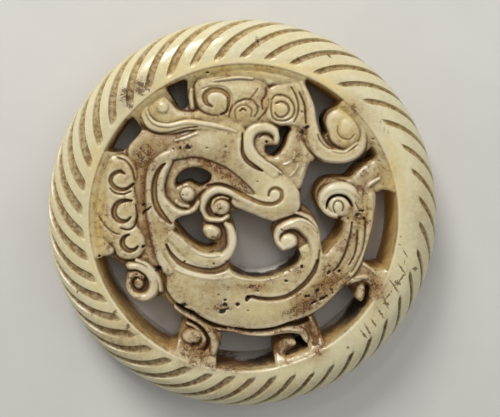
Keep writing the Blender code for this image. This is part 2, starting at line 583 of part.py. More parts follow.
def flute_stations(tip, total):
    """Distances along the section with the depth and width that a flute has there, as shares."""
    middle = total / 2
    run_out = 0.045 * FIELD_RADIUS
    back_tip = total - BACK_LAND - 0.01 * FIELD_RADIUS
    full, back_full = tip + run_out, back_tip - run_out
    rows = [(RIM_LAND, 0.0, 0.3), (tip, 0.0, 0.3), (tip + 0.4 * run_out, 0.75, 0.8)]
    rows += [(full + (middle - full) * k / FLUTE_ROWS, 1.0, 1.0) for k in range(FLUTE_ROWS)]
    rows += [(middle + (back_full - middle) * k / FLUTE_ROWS, 1.0, 1.0) for k in range(FLUTE_ROWS + 1)]
    rows += [(back_tip, 0.0, 0.3), (total - RIM_LAND, 0.0, 0.3)]
    return np.array(rows)


def ring_grid(columns):
    """Grid of ring vertices: columns follow the flutes, rows run from front to back."""
    r, z, run = ring_section()
    along, turn = flute_turn(r, run)
    pitch = 2 * math.pi / FLUTE_COUNT
    grid = []
    for i in range(FLUTE_COUNT):
        even = math.radians(16.6) + i * pitch
        phase = even + math.radians(2.67) * math.cos(even - math.radians(168.0))
        away = math.remainder(even - math.radians(350.0), 2 * math.pi)
        tip = (0.03 + 0.11 * math.exp(-(away / math.radians(59.0)) ** 4)) * FIELD_RADIUS
        share = FLUTE_SHARE + 0.11 * math.cos(even - math.radians(190.0))
        rows = flute_stations(tip, run[-1])
        s, depth, width = rows.T
        rr, zz = np.interp(s, run, r), np.interp(s, run, z)
        ahead = 2e-5
        tr = np.interp(s + ahead, run, r) - np.interp(s - ahead, run, r)
        tz = np.interp(s + ahead, run, z) - np.interp(s - ahead, run, z)
        size = np.hypot(tr, tz)
        for place, sunk in columns:
            offset = place * share * width * pitch / 2
            angle = phase + offset - np.interp(s, along, turn)
            inset = FLUTE_DEPTH * sunk * depth
            radius = rr + tz / size * inset
            spot = [radius * np.cos(angle), radius * np.sin(angle), zz - tr / size * inset]
            grid.append(np.stack(spot, axis=1))
    return np.array(grid)


def build_pendant():
    """Closed mesh of the whole pendant."""
    floor = FLUTE_FLOOR_SHARE
    grid = ring_grid([(-1.0, 0.0), (-floor, 1.0), (floor, 1.0), (1.0, 0.0)])
    n_cols, n_rows = grid.shape[:2]
    loops = opening_loops(OUTLINE_TOLERANCE, OUTLINE_STEP)
    front_rim = grid[:, 0, :2] / FIELD_RADIUS
    back_rim = grid[:, -1, :2] / FIELD_RADIUS
    front_inner, front_faces = fill_plan(front_rim, loops, GRID_STEP / FIELD_RADIUS)
    back_inner, back_faces = fill_plan(back_rim, loops, BACK_STEP / FIELD_RADIUS)
    hole_points = np.concatenate(loops)
    side, front_grid, back_grid = carved_grids(loops)

    def lifted(points, is_front):
        height = sampled(side, front_grid if is_front else back_grid, points)
        return np.column_stack([points * FIELD_RADIUS, height + (DISC_THICKNESS if is_front else 0.0)])

    ring = grid.reshape(-1, 3)
    parts = [ring, lifted(hole_points, True), lifted(hole_points, False),
             lifted(front_inner, True), lifted(back_inner, False)]
    starts = np.cumsum([0] + [len(p) for p in parts])
    vertices = np.concatenate(parts)
    rim_front = np.arange(n_cols) * n_rows
    rim_back = rim_front + n_rows - 1
    n_hole = len(hole_points)
    front_map = np.concatenate([rim_front, starts[1] + np.arange(n_hole),
                                starts[3] + np.arange(len(front_inner))])
    back_map = np.concatenate([rim_back, starts[2] + np.arange(n_hole),
                               starts[4] + np.arange(len(back_inner))])
    faces = facing(vertices, front_map[front_faces], 1.0)
    faces += facing(vertices, back_map[back_faces], -1.0)
    for i in range(n_cols):
        j = (i + 1) % n_cols
        for k in range(n_rows - 1):
            a, b = i * n_rows + k, j * n_rows + k
            faces += [(a, a + 1, b), (b, a + 1, b + 1)]
    start = 0
    for loop in loops:
        n = len(loop)
        turn = signed_area(loop)
        for i in range(n):
            a, b = start + i, start + (i + 1) % n
            if turn < 0:
                a, b = b, a
            top_a, top_b = starts[1] + a, starts[1] + b
            low_a, low_b = starts[2] + a, starts[2] + b
            faces += [(top_a, top_b, low_a), (top_b, low_b, low_a)]
        start += n
    protected = starts[3]
    return vertices, faces, protected


def signed_area(loop):
    """Positive for a loop that runs anticlockwise."""
    after = np.roll(loop, -1, axis=0)
    return float(np.sum(loop[:, 0] * after[:, 1] - after[:, 0] * loop[:, 1])) / 2


def facing(vertices, faces, sign):
    """Triangles turned so that their normal points up or down."""
    a, b, c = vertices[faces[:, 0]], vertices[faces[:, 1]], vertices[faces[:, 2]]
    up = (b[:, 0] - a[:, 0]) * (c[:, 1] - a[:, 1]) - (b[:, 1] - a[:, 1]) * (c[:, 0] - a[:, 0])
    wrong = up * sign < 0
    faces = faces.copy()
    faces[wrong] = faces[wrong][:, ::-1]
    return [tuple(int(i) for i in face) for face in faces]


def jade_material():
    """Polished pale green jade."""
    material = bpy.data.materials.new("jade")
    material.use_nodes = True
    shader = material.node_tree.nodes["Principled BSDF"]
    shader.inputs["Base Color"].default_value = (0.56, 0.52, 0.33, 1.0)
    shader.inputs["Roughness"].default_value = 0.28
    shader.inputs["Metallic"].default_value = 0.0
    return material


def main():
    """Make the pendant object."""
    for obj in list(bpy.data.objects):
        bpy.data.objects.remove(obj, do_unlink=True)
    vertices, faces, protected = build_pendant()
    mesh = bpy.data.meshes.new("pendant")
    mesh.from_pydata(vertices.tolist(), [], faces)
    mesh.materials.append(jade_material())
    mesh.shade_smooth()
    mesh.set_sharp_from_angle(angle=math.radians(35.0))
    obj = bpy.data.objects.new("pendant", mesh)
    bpy.context.scene.collection.objects.link(obj)
    group = obj.vertex_groups.new(name="carved_faces")
    group.add(list(range(protected, len(vertices))), 1.0, "REPLACE")
    ease = obj.modifiers.new("ease_facets", "DECIMATE")
    ease.decimate_type = "COLLAPSE"
    ease.vertex_group = group.name
    ease.ratio = min(1.0, TRIANGLE_TARGET / len(faces))


main()
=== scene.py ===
"""Looks of the openwork jade pendant: worn, stained jade on a pale floor, seen from above."""
import math

import bpy
import numpy as np
from mathutils import Matrix, Vector
from mathutils.geometry import delaunay_2d_cdt


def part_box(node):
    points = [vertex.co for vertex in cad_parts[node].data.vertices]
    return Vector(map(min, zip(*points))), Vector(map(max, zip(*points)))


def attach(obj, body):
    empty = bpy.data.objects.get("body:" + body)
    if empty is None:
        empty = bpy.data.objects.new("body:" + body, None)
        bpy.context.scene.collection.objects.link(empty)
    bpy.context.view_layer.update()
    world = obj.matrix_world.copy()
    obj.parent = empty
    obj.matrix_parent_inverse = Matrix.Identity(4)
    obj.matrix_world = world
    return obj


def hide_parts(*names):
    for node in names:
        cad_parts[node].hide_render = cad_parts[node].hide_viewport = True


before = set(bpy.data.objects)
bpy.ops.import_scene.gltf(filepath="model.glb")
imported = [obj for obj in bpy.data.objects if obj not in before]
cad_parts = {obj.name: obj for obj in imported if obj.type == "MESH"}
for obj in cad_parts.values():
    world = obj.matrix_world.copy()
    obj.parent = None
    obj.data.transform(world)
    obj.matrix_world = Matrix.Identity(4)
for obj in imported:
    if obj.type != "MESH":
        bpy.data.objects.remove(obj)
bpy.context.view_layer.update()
CAD_LOW, CAD_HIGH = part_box("pendant")

# Overall sizes, metres
DISC_DIAMETER = round(CAD_HIGH.x - CAD_LOW.x, 4)
DISC_THICKNESS = round(CAD_HIGH.z, 4)
RING_WIDTH = 0.00664
FRONT_LAND = 0.00174
BACK_LAND = 0.00224
FIELD_RADIUS = DISC_DIAMETER / 2 - RING_WIDTH
MID_HEIGHT = DISC_THICKNESS / 2

# Camera, looking down on the front
CAMERA_PLACE = Vector((-0.004, 0.017, DISC_THICKNESS + 0.130))
CAMERA_TARGET = Vector((0.00078, 0.00175, DISC_THICKNESS))
CAMERA_LENS = 65.45
CAMERA_SENSOR = 36.0
CAMERA_NEAREST = 0.005

# Soft lights: place, width, watts, colour
LIGHTS = {
    "spark_light": ((-0.05, 0.17, 0.30), 0.03, 0.07, (1.0, 0.985, 0.97)),
    "key_light": ((-0.12, 0.30, 0.24), 0.14, 1.06, (1.0, 0.968, 0.93)),
    "fill_light": ((0.20, 0.12, 0.30), 0.26, 0.19, (1.0, 0.985, 0.96)),
    "front_light": ((0.02, 0.08, 0.32), 0.10, 0.08, (1.0, 0.985, 0.96)),
}
SURROUND_GREY = 0.88
SURROUND_STRENGTH = 0.31
FLOOR_HALF_WIDTH = 1.5
FLOOR_DROP = 0.00002

# Rope flutes on the ring: how many, their first place, and how they crowd towards one side
FLUTE_COUNT = 43
FLUTE_START = math.radians(16.6)
FLUTE_DRIFT = math.radians(2.67)
FLUTE_DRIFT_FROM = math.radians(168.0)
FLUTE_DEPTH = 0.00045
# Lean at the tips and further out, and where it changes, in shares of the field radius
FLUTE_LEAN_START = math.radians(50.0)
FLUTE_LEAN = math.radians(36.0)
LEAN_CHANGE_FROM, LEAN_CHANGE_WIDTH = 0.03, 0.17
# Share of the pitch that a flute takes, and how much wider it is on one side of the ring
FLUTE_SHARE = 0.42
FLUTE_SHARE_SWING = 0.12
FLUTE_WIDEST_AT = math.radians(190.0)
# Distance from the field's edge to the tips: least, added on the longer side, its place and reach
TIP_LEAST = 0.03
TIP_ADDED = 0.11
TIP_LONGEST_AT = math.radians(350.0)
TIP_SPREAD = math.radians(59.0)
# Chance differences of tip, width and depth from flute to flute, and the waver of their edges
TIP_CHANCE, SHARE_CHANCE, DEPTH_CHANCE = 0.10, 0.07, 0.12
FLUTE_SEED = 7
FLUTE_SWAY = 0.05
FLUTE_SWAY_LENGTH = 0.0011
FLUTE_RUN_OUT = 0.045
# How steeply the tips run out, and the depth and width halfway out at the back, as shares
RUN_OUT_STEEPNESS = 1.6
BACK_RUN_OUT = 0.8, 0.85
BACK_TIP_GAP = 0.01
TIP_WIDTH = 0.3
RIM_LAND = 0.00033
# Across a flute (-1 and 1 at its edges) and over the ridge to the next (1 to 2): place, depth share
FLUTE_COLUMNS = [
    (-1.0, 0.06), (-0.90, 0.32), (-0.80, 0.78), (-0.66, 0.97), (-0.33, 1.0), (0.0, 1.0), (0.33, 1.0),
    (0.66, 0.97), (0.80, 0.78), (0.90, 0.32), (1.0, 0.06), (1.22, 0.0), (1.5, 0.0), (1.78, 0.0)]
DIRTY_DEPTH = 0.25
FLUTE_DIRT = 1.1

# Relief of the carving, metres below the ring's face
BODY_DROP = 0.00035
GROUND_DROP = 0.0016
RIM_STEP = 0.00018
RIM_SLOPE = 0.0027
RIM_GAP = 0.00015
CREST_ROUNDING = 0.00024
EDGE_ROUNDING = 0.00022
EDGE_WIDTH = 0.00045
SIDE_STEEPNESS = 2.4
STRAND_FLATNESS, BOSS_FLATNESS = 4, 5
CHANNEL_DEPTH = 0.0006
# Share of its half width in which a channel's side falls, and the half widths where a line turns to a groove
CHANNEL_SIDE = 0.45
CHANNEL_REACH = 0.011
CHANNEL_WIDENING = 0.003
BACK_DROP = 0.0009
PIT_DEPTH = 0.00035
# Noises that fray the pits: share, cell and seed, and how the blot and the noise make a pit
PIT_NOISES = [(0.55, 0.014, 11), (0.45, 0.007, 12)]
PIT_CONTRAST, PIT_FRAY, PIT_FRINGE, PIT_LEAST = 2.4, 0.9, 0.04, 0.9
RIPPLE = 0.000010
RIPPLE_CELL, RIPPLE_SEED, RIPPLE_RIM = 0.03, 5, 0.99
WALL_WOBBLE = 0.00008
# Back: its least depth and what the front's relief adds, as shares, and the radius where it starts to rise
BACK_LEAST, BACK_SUNK = 0.75, 0.5
BACK_RIM_FROM, RIM_FADE = 0.93, 0.07
# Waves that make the walls uneven: turns along x, along y and down the wall, and size
WALL_WAVES = [(61.0, 37.0, 9.0, 1.0), (23.0, -71.0, -17.0, 0.6)]

# Wear and masks: the radius that each is blurred over, and the height that counts as full
WEAR_RADIUS = 0.00006
BACK_WEAR_RADIUS = 0.0007
HOLLOW_RADIUS, HOLLOW_DEPTH = 0.00045, 0.00026
VALLEY_RADIUS, VALLEY_DEPTH = 0.0011, 0.00045
CREASE_RADIUS, CREASE_DEPTH, CREASE_LEAST = 0.00014, 0.00006, 0.2
CREST_HEIGHT = 0.00016
GROOVE_RADIUS, LINE_RADIUS = 0.00006, 0.00004
# Darkness of a line against its depth, and dirt along a groove's sides
LINE_DARK_LEAST, LINE_DARK_GAIN = 0.5, 0.6
GROOVE_SIDE_DIRT = 2.4
# Dirt that lies everywhere: on the carving, on the back, and how far it is gone at the rim
GROUND_STAIN = 0.48
BACK_DIRT = 0.25
DIRT_RIM_FROM, DIRT_LOST_AT_RIM = 0.87, 0.95
# Share of the wall's look on the back's edge, and the height share above which the ring is scratched
BACK_EDGE_WALL = 0.7
SCORED_FROM = 0.4
# Where the field's look turns into the ring's, in shares of the field radius
RING_FROM, RING_BLEND = 0.998, 0.01
# Reach of a mark on the ring against its stated size
MARK_REACH = 1.3

# How far round each form its effect is worked out, in shares of the field radius
AREA_MARGIN, STRAND_MARGIN, LINE_MARGIN, EDGE_MARGIN = 0.06, 0.10, 0.04, 0.12

# Fineness of the mesh
GRAIN = 0.00006
GRID_STEP = 0.00014
BACK_STEP = 0.0006
DETAIL_RADIUS = 0.00022
DETAIL_HEIGHT = 0.000006
DETAIL_SPREAD = 0.00012
DETAIL_SHARE = 0.12
# Ranges of the pit and line masks that count as edges, and the share from which the mesh is fine
PIT_EDGE, LINE_EDGE = (0.2, 0.8), (0.1, 0.9)
FINE_FROM = 0.4
# Half widths of the grid and of the lattice, and the lattice's clearance in steps
GRID_REACH = 1.03
LATTICE_REACH = 1.05
RIM_CLEARANCE, WALL_CLEARANCE = 0.6, 0.55
SECTION_SAMPLES = 121
SWEEP_SAMPLES = 1201
TANGENT_STEP = 0.00002
OUTLINE_TOLERANCE = 0.000015
OUTLINE_STEP = 0.0003
OPENING_SAMPLES = 12
STROKE_SAMPLES = 8
TIP_ROWS = 5
FLUTE_ROWS = 14
BACK_ROWS = 9
WALL_ROWS = 6
SHARP_ANGLE = math.radians(48.0)

# Noises of the materials: features per metre, detail, and the range spread over 0 to 1
NOISES = {
    "broad": (90.0, 3.0, 0.35, 0.65),
    "cloud": (260.0, 5.0, 0.38, 0.62),
    "speck": (1500.0, 4.0, 0.40, 0.60),
    "grit": (4200.0, 3.0, 0.42, 0.58),
    "floor": (30.0, 3.0, 0.3, 0.7),
}

# Colours as a screen shows them; a pair runs from the first to the second
JADE = (216, 209, 170), (222, 209, 158)
JADE_CLOUD = (202, 184, 122)
JADE_SPECK = (178, 158, 108)
RING_PALE = (224, 219, 186)
# Amber tone of the stone, made light as painted light where slopes face away from the lamps
AMBER_WITH_PAINTED_LIGHT = (238, 206, 122)
STAIN_BROWN = (148, 108, 48)
LOW_BROWN = (144, 104, 42)
VALLEY_BROWN = (128, 88, 34)
HOLLOW_BROWN = (98, 64, 24)
# Dirt and painted shade: near black brown in the tightest creases
CREASE_DIRT_AND_SHADE = (62, 37, 15)
# Painted highlight: near white laid on the crests where light catches them
CREST_HIGHLIGHT = (238, 227, 200)
GROOVE = (160, 126, 66), (84, 58, 28)
LINE = (126, 92, 42), (58, 40, 20)
FLUTE = (174, 138, 66), (54, 34, 14)
FLUTE_SPECK = (110, 78, 34)
# Walls from the front edge to the back: tan made light as painted light, darker down the wall as painted
# shade
WALL_LIT_AND_SHADED = (218, 184, 116), (176, 138, 86)
WALL_SPECK = (128, 96, 54)
# Painted light: amber glow on the walls of narrow slots where the lamps do not reach
WALL_PAINTED_GLOW = (250, 212, 124)
# Painted shadow on the shaded walls: dark brown near the front, black further down
WALL_SHADED_BROWN, WALL_SHADOW_BLACK = (96, 66, 38), (28, 21, 14)
# Painted light: near white low on some walls, light from behind the piece
WALL_PAINTED_BACKLIGHT = (236, 235, 230)
SOIL_TAN, SOIL_BROWN, SOIL_CRUMB = (144, 96, 32), (96, 60, 20), (62, 38, 16)
SCRATCH = (64, 42, 22), (118, 84, 48)
PIT_BLACK = (38, 28, 18)
FLOOR_GREY = (214, 212, 208), (221, 219, 215)

# Roughness, fine bumps and fixed surface values
ROUGH = {"polished": 0.20, "stained": 0.36, "crest": 0.13, "groove": 0.72, "soil": 0.85, "grit": 0.06}
FLOOR_ROUGH = 0.85
BUMP = {"Strength": 0.55, "Distance": 0.00006}
STONE = {
    "Subsurface Weight": 0.12,
    "Subsurface Radius": (1.0, 0.75, 0.35),
    "Subsurface Scale": 0.0007,
    "IOR": 1.6,
}

# Plan of the carving, in thousandths of the field radius: x to the right, y up.
# Pierced openings: whether the rim closes the outline, then its points.
OPENINGS = {
    "upper_left_pair": (False, [
        (-500, 845), (-480, 866), (-430, 888), (-385, 903), (-362, 885), (-365, 810), (-355, 750),
        (-390, 716), (-428, 720), (-465, 785)]),
    "upper_left_edge": (True, [
        (-745, 648), (-710, 665), (-667, 600), (-670, 560), (-745, 480), (-785, 443), (-850, 440),
        (-878, 449)]),
    "upper_right_wedge": (True, [
        (625, 765), (600, 730), (550, 700), (523, 650), (530, 600), (546, 560), (525, 538), (495, 565),
        (468, 640), (455, 720), (425, 800), (388, 885), (400, 905)]),
    "comma": (False, [
        (225, 550), (222, 583), (262, 610), (303, 590), (285, 545), (262, 475), (200, 410), (165, 420),
        (133, 462), (150, 482), (205, 483), (228, 510)]),
    "right_channel": (False, [
        (420, 362), (445, 382), (530, 368), (640, 364), (730, 393), (800, 445), (823, 472), (855, 430),
        (850, 395), (765, 345), (720, 295), (680, 268), (600, 268), (530, 247), (487, 195), (475, 125),
        (510, 50), (590, 0), (645, -10), (642, -80), (585, -170), (520, -225), (503, -160), (492, -70),
        (460, 10), (395, 78), (365, 120), (375, 220), (400, 310)]),
    "right_slot": (True, [
        (970, 175), (930, 192), (885, 183), (862, 150), (855, 70), (845, -50), (815, -170), (792, -250),
        (810, -305), (870, -338), (925, -330)]),
    "crescent": (False, [
        (-452, 235), (-435, 285), (-390, 326), (-320, 343), (-250, 325), (-213, 290), (-225, 245),
        (-275, 210), (-310, 218), (-360, 240), (-410, 225), (-440, 212)]),
    "left_centre": (False, [
        (-455, -10), (-420, 20), (-340, 43), (-295, 55), (-268, 20), (-275, -60), (-245, -118), (-205, -133),
        (-195, -180), (-225, -212), (-300, -195), (-380, -135), (-440, -65)]),
    "centre": (False, [
        (-90, 20), (-65, 60), (-35, 73), (40, 42), (120, 8), (170, -15), (200, -55), (193, -120), (220, -185),
        (270, -210), (325, -180), (355, -195), (370, -245), (340, -298), (260, -345), (170, -380), (50, -385),
        (-60, -355), (-105, -305), (-75, -225), (-45, -140), (-65, -60)]),
    "left_edge": (True, [
        (-950, -245), (-900, -235), (-840, -262), (-775, -310), (-770, -380), (-770, -450), (-720, -515),
        (-650, -537), (-580, -512), (-530, -518), (-460, -580), (-405, -645), (-400, -680), (-430, -750),
        (-440, -820), (-460, -850), (-500, -853)]),
    "bottom": (True, [
        (-185, -970), (-187, -910), (-155, -830), (-150, -755), (-80, -757), (0, -778), (120, -786),
        (240, -772), (350, -768), (385, -800), (420, -835), (415, -870), (340, -900), (275, -915),
        (275, -885), (335, -850), (335, -812), (280, -800), (220, -830), (200, -900), (205, -966)]),
    "lower_right": (True, [
        (530, -835), (512, -780), (490, -710), (455, -648), (530, -583), (600, -513), (650, -462),
        (710, -447), (742, -470), (735, -525), (770, -545), (795, -500), (797, -443), (828, -455),
        (832, -530)]),
}
# Broad raised areas: level (0 at the crests, 1 at the ground), width and amount of the rounded
# edge, closed outline.
AREAS = [
    # Head and smooth lobe
    (0.04, 0.10, 1.5, [
        (-500, 440), (-440, 510), (-350, 555), (-260, 600), (-140, 635), (-30, 620), (20, 540), (60, 440),
        (130, 385), (220, 320), (300, 255), (350, 180), (360, 100), (330, 45), (250, 15), (170, -5), (60, 30),
        (-30, 70), (-80, 120), (-40, 170), (70, 165), (20, 235), (-100, 335), (-220, 390), (-330, 415),
        (-430, 400)]),
    # Body and plume
    (0.04, 0.15, 1.9, [
        (-610, 100), (-600, 0), (-590, -80), (-570, -190), (-535, -290), (-505, -380), (-500, -460),
        (-440, -545), (-360, -595), (-240, -662), (-100, -705), (60, -725), (240, -705), (400, -645),
        (520, -575), (620, -475), (710, -380), (760, -270), (810, -150), (845, 0), (855, 150), (800, 210),
        (720, 150), (640, 20), (600, -120), (420, -160), (250, -280), (50, -300), (-80, -250), (-220, -220),
        (-330, -180), (-420, -100), (-500, -60), (-540, 40), (-570, 100)]),
    # Panel at the top
    (0.06, 0.11, 1.7, [
        (-300, 910), (-316, 865), (-314, 800), (-298, 738), (-265, 698), (-220, 680), (-140, 670), (-60, 640),
        (30, 630), (100, 645), (145, 700), (158, 770), (150, 850), (110, 895), (30, 925), (-60, 938),
        (-180, 932), (-260, 922)]),
    # Ground between the ring scroll and the wedge
    (0.12, 0.03, 0.7, [
        (148, 800), (168, 850), (250, 872), (320, 885), (372, 870), (402, 800), (430, 720), (440, 640),
        (425, 590), (380, 585), (320, 612), (225, 618), (150, 655), (142, 720)]),
    (0.36, 0.04, 1.0, [
        (-320, 700), (-300, 600), (-100, 550), (20, 600), (200, 620), (400, 620), (460, 450), (400, 280),
        (340, 200), (220, 300), (100, 400), (220, 420), (280, 520), (280, 620), (150, 700)]),
    (0.45, 0.04, 1.0, [
        (70, 440), (60, 500), (90, 550), (150, 560), (195, 520), (200, 480), (150, 480), (130, 440),
        (160, 400), (100, 400)]),
    # Column of three scrolls
    (0.08, 0.05, 1.4, [
        (-860, 410), (-780, 415), (-720, 375), (-695, 300), (-712, 215), (-698, 140), (-688, 60), (-705, -20),
        (-668, -80), (-643, -145), (-660, -205), (-700, -243), (-760, -252), (-815, -232), (-850, -165),
        (-910, -120), (-940, -40), (-915, 80), (-900, 240), (-898, 350)]),
    # Leaf at the left and the recess in it
    (0.08, 0.03, 0.8, [
        (-455, 430), (-530, 418), (-592, 368), (-627, 290), (-638, 200), (-636, 100), (-624, 0), (-605, -100),
        (-585, -190), (-550, -250), (-500, -190), (-480, -100), (-440, -30), (-400, 40), (-440, 60),
        (-485, 95), (-512, 145), (-520, 200), (-512, 260), (-492, 320), (-470, 370)]),
    (0.50, 0.06, 1.0, [
        (-450, 400), (-300, 405), (-100, 340), (60, 170), (-50, 160), (-180, 220), (-260, 200), (-400, 90),
        (-500, 150), (-510, 250), (-500, 340)]),
    # Brown ground between the column, the hook and the body
    (0.42, 0.05, 1.0, [
        (-745, 430), (-700, 555), (-620, 578), (-450, 552), (-300, 588), (-400, 500), (-500, 430),
        (-590, 370), (-635, 280), (-640, 100), (-620, -50), (-590, -180), (-555, -300), (-640, -275),
        (-672, -240), (-640, -150), (-690, -40), (-698, 60), (-720, 200), (-700, 330)]),
    # Bands inside the rim
    (0.20, 0.05, 0.8, [
        (-985, -170), (-990, 0), (-965, 240), (-905, 420), (-855, 432), (-880, 300), (-890, 100), (-920, -50),
        (-900, -120), (-850, -190), (-880, -225), (-940, -235)]),
    (0.12, 0.05, 0.8, [
        (-370, 915), (-200, 965), (0, 988), (170, 975), (330, 930), (350, 885), (250, 865), (100, 900),
        (-100, 930), (-250, 915)]),
    (0.18, 0.02, 1.2, [
        (130, 935), (200, 925), (285, 893), (220, 880), (160, 865), (120, 895)]),
    # Ground beside the hook scroll's boss
    (0.25, 0.04, 0.6, [
        (-645, 690), (-600, 765), (-520, 795), (-450, 720), (-395, 695), (-300, 685), (-300, 650),
        (-400, 640), (-500, 620), (-580, 640), (-620, 680)]),
    # Dish of the upper right scroll and the slopes below it
    (0.16, 0.06, 1.2, [
        (560, 690), (532, 640), (540, 580), (580, 500), (660, 460), (740, 500), (755, 600), (715, 670),
        (630, 720)]),
    (0.50, 0.05, 1.2, [
        (442, 180), (452, 250), (500, 288), (600, 292), (680, 275), (725, 310), (785, 350), (860, 400),
        (965, 320), (972, 200), (860, 170), (740, 180), (640, 240), (520, 230)]),
    (0.08, 0.03, 0.8, [
        (560, 60), (548, 100), (565, 135), (605, 150), (650, 140), (685, 100), (695, 60), (670, 30),
        (620, 25), (590, 40)]),
    (0.50, 0.05, 1.2, [
        (740, -260), (700, -400), (800, -440), (900, -500), (970, -300), (860, -320)]),
]
# Flat-topped strands: level, then points (x, y, half width).
STRANDS = [
    # Hook scroll at the upper left and the strand that leaves it
    (0.12, [(-622, 722, 13), (-640, 682, 20), (-626, 640, 24), (-592, 604, 25), (-550, 587, 24),
            (-500, 583, 24), (-450, 590, 25), (-380, 608, 26), (-300, 612, 28), (-200, 600, 32),
            (-120, 590, 36)]),
    (0.20, [(-335, 835, 7), (-339, 780, 12), (-331, 722, 8)]),
    (0.06, [(-440, 515, 8), (-380, 532, 11), (-300, 563, 10)]),
    # Big scroll at the upper right
    (0.04, [(362, 885, 14), (402, 800, 20), (426, 720, 27), (434, 630, 32), (452, 525, 42), (500, 445, 46),
            (580, 408, 42), (670, 413, 38), (742, 460, 30), (768, 530, 20), (755, 600, 14), (715, 650, 8)]),
    # Central scroll under the panel
    (0.00, [(203, 502, 14), (208, 550, 20), (168, 590, 25), (105, 598, 29), (50, 574, 31), (25, 522, 32),
            (31, 462, 32), (67, 404, 32), (122, 354, 34), (190, 302, 34)]),
    (0.22, [(325, 440, 6), (318, 400, 9), (285, 368, 8), (252, 358, 5)]),
    (0.20, [(345, 352, 5), (335, 325, 8), (298, 283, 6)]),
    (0.26, [(365, 500, 12), (390, 430, 16), (388, 360, 16), (360, 280, 12)]),
    # Middle left scroll and its long strand
    (0.00, [(30, 118, 26), (-40, 152, 23), (-100, 182, 20), (-170, 194, 19), (-228, 172, 20), (-262, 125, 18),
            (-272, 65, 12), (-245, 14, 11), (-200, 0, 10), (-150, 0, 10), (-112, 20, 8)]),
    (0.30, [(-105, 138, 7), (-150, 148, 9), (-192, 130, 9), (-207, 92, 8), (-195, 52, 7)]),
    # Scroll below it
    (0.00, [(-122, -24, 7), (-86, -70, 23), (-75, -125, 26), (-79, -178, 25), (-108, -228, 28),
            (-160, -262, 32), (-220, -275, 37), (-275, -268, 39), (-325, -243, 40), (-370, -208, 39),
            (-410, -168, 37), (-450, -130, 34), (-490, -100, 28)]),
    # Leaf
    (0.02, [(-497, 345, 8), (-522, 300, 15), (-538, 240, 20), (-540, 190, 21), (-530, 140, 22),
            (-490, 88, 23), (-437, 52, 21), (-375, 45, 16), (-325, 70, 12), (-295, 112, 8)]),
    (0.38, [(-440, 120, 13), (-405, 97, 15), (-365, 88, 11)]),
    (0.02, [(-455, 430, 34), (-530, 402, 27), (-590, 348, 20), (-615, 270, 14), (-621, 180, 13),
            (-619, 90, 13), (-606, 0, 15), (-590, -90, 18), (-567, -170, 22), (-542, -250, 26),
            (-495, -330, 32)]),
    # Scroll right of the centre
    (0.00, [(255, -185, 18), (215, -145, 16), (213, -92, 18), (248, -55, 21), (305, -30, 26), (365, -32, 36),
            (412, -62, 40), (445, -112, 36), (458, -180, 27), (455, -250, 22), (435, -310, 20),
            (380, -370, 18)]),
    (0.22, [(335, 45, 8), (378, 30, 10), (425, 5, 10), (462, -35, 10), (485, -85, 10), (490, -150, 9),
            (487, -210, 7)]),
    (0.18, [(405, -215, 16), (410, -280, 20), (360, -345, 18)]),
    # Right scroll and the plume that falls from it
    (0.00, [(592, 26, 16), (545, 40, 22), (510, 88, 24), (520, 145, 29), (562, 190, 34), (620, 203, 38),
            (680, 186, 38), (722, 140, 36), (740, 90, 34), (738, 30, 32), (715, -25, 31), (690, -90, 31),
            (656, -170, 32), (612, -245, 32), (555, -310, 26)]),
    (0.06, [(757, -20, 18), (760, -100, 22), (743, -180, 24), (712, -260, 26), (660, -335, 28),
            (580, -390, 26)]),
    (0.10, [(818, 160, 18), (818, 60, 24), (812, -30, 23), (798, -110, 20), (775, -200, 18), (742, -290, 18),
            (690, -370, 20), (610, -440, 22)]),
    (0.10, [(752, 178, 12), (774, 125, 13), (784, 60, 10)]),
    (0.16, [(876, 266, 9), (830, 240, 13), (796, 205, 12), (800, 150, 10)]),
    # Hook at the lower right
    (0.20, [(675, -425, 12), (720, -402, 18), (770, -385, 22), (817, -400, 22), (848, -445, 18),
            (855, -520, 12)]),
    (0.30, [(785, -300, 10), (840, -335, 12), (875, -390, 12), (888, -460, 10)]),
    # Free scroll at the lower left
    (0.00, [(-745, -300, 18), (-685, -305, 22), (-625, -345, 26), (-592, -400, 26), (-595, -460, 26),
            (-635, -503, 24), (-690, -508, 22), (-738, -472, 20), (-757, -420, 18), (-742, -370, 16),
            (-705, -352, 14), (-668, -372, 12)]),
    (0.10, [(-700, -262, 10), (-640, -287, 11), (-590, -340, 11), (-556, -400, 11), (-548, -460, 10)]),
    # Scroll and thin strand at the bottom left
    (0.12, [(-445, -587, 10), (-380, -626, 11), (-312, -668, 13), (-255, -722, 16), (-216, -782, 20),
            (-198, -838, 20), (-206, -885, 14)]),
    (0.48, [(-375, -688, 8), (-328, -708, 12), (-286, -748, 14), (-266, -795, 14), (-282, -838, 13),
            (-315, -858, 9)]),
    (0.45, [(-420, -868, 8), (-350, -905, 12), (-270, -940, 12), (-200, -962, 8)]),
    # Thin strand and hook at the bottom right
    (0.30, [(-170, -722, 8), (-80, -738, 8), (0, -757, 10), (100, -765, 13), (170, -761, 14), (225, -750, 13),
            (275, -743, 13), (335, -744, 14), (378, -757, 18), (402, -788, 18), (403, -822, 13)]),
    (0.30, [(251, -908, 5), (244, -872, 19), (266, -838, 25), (305, -826, 22), (332, -826, 13)]),
    (0.45, [(436, -660, 12), (456, -720, 18), (474, -780, 22), (475, -840, 20), (465, -882, 12)]),
]
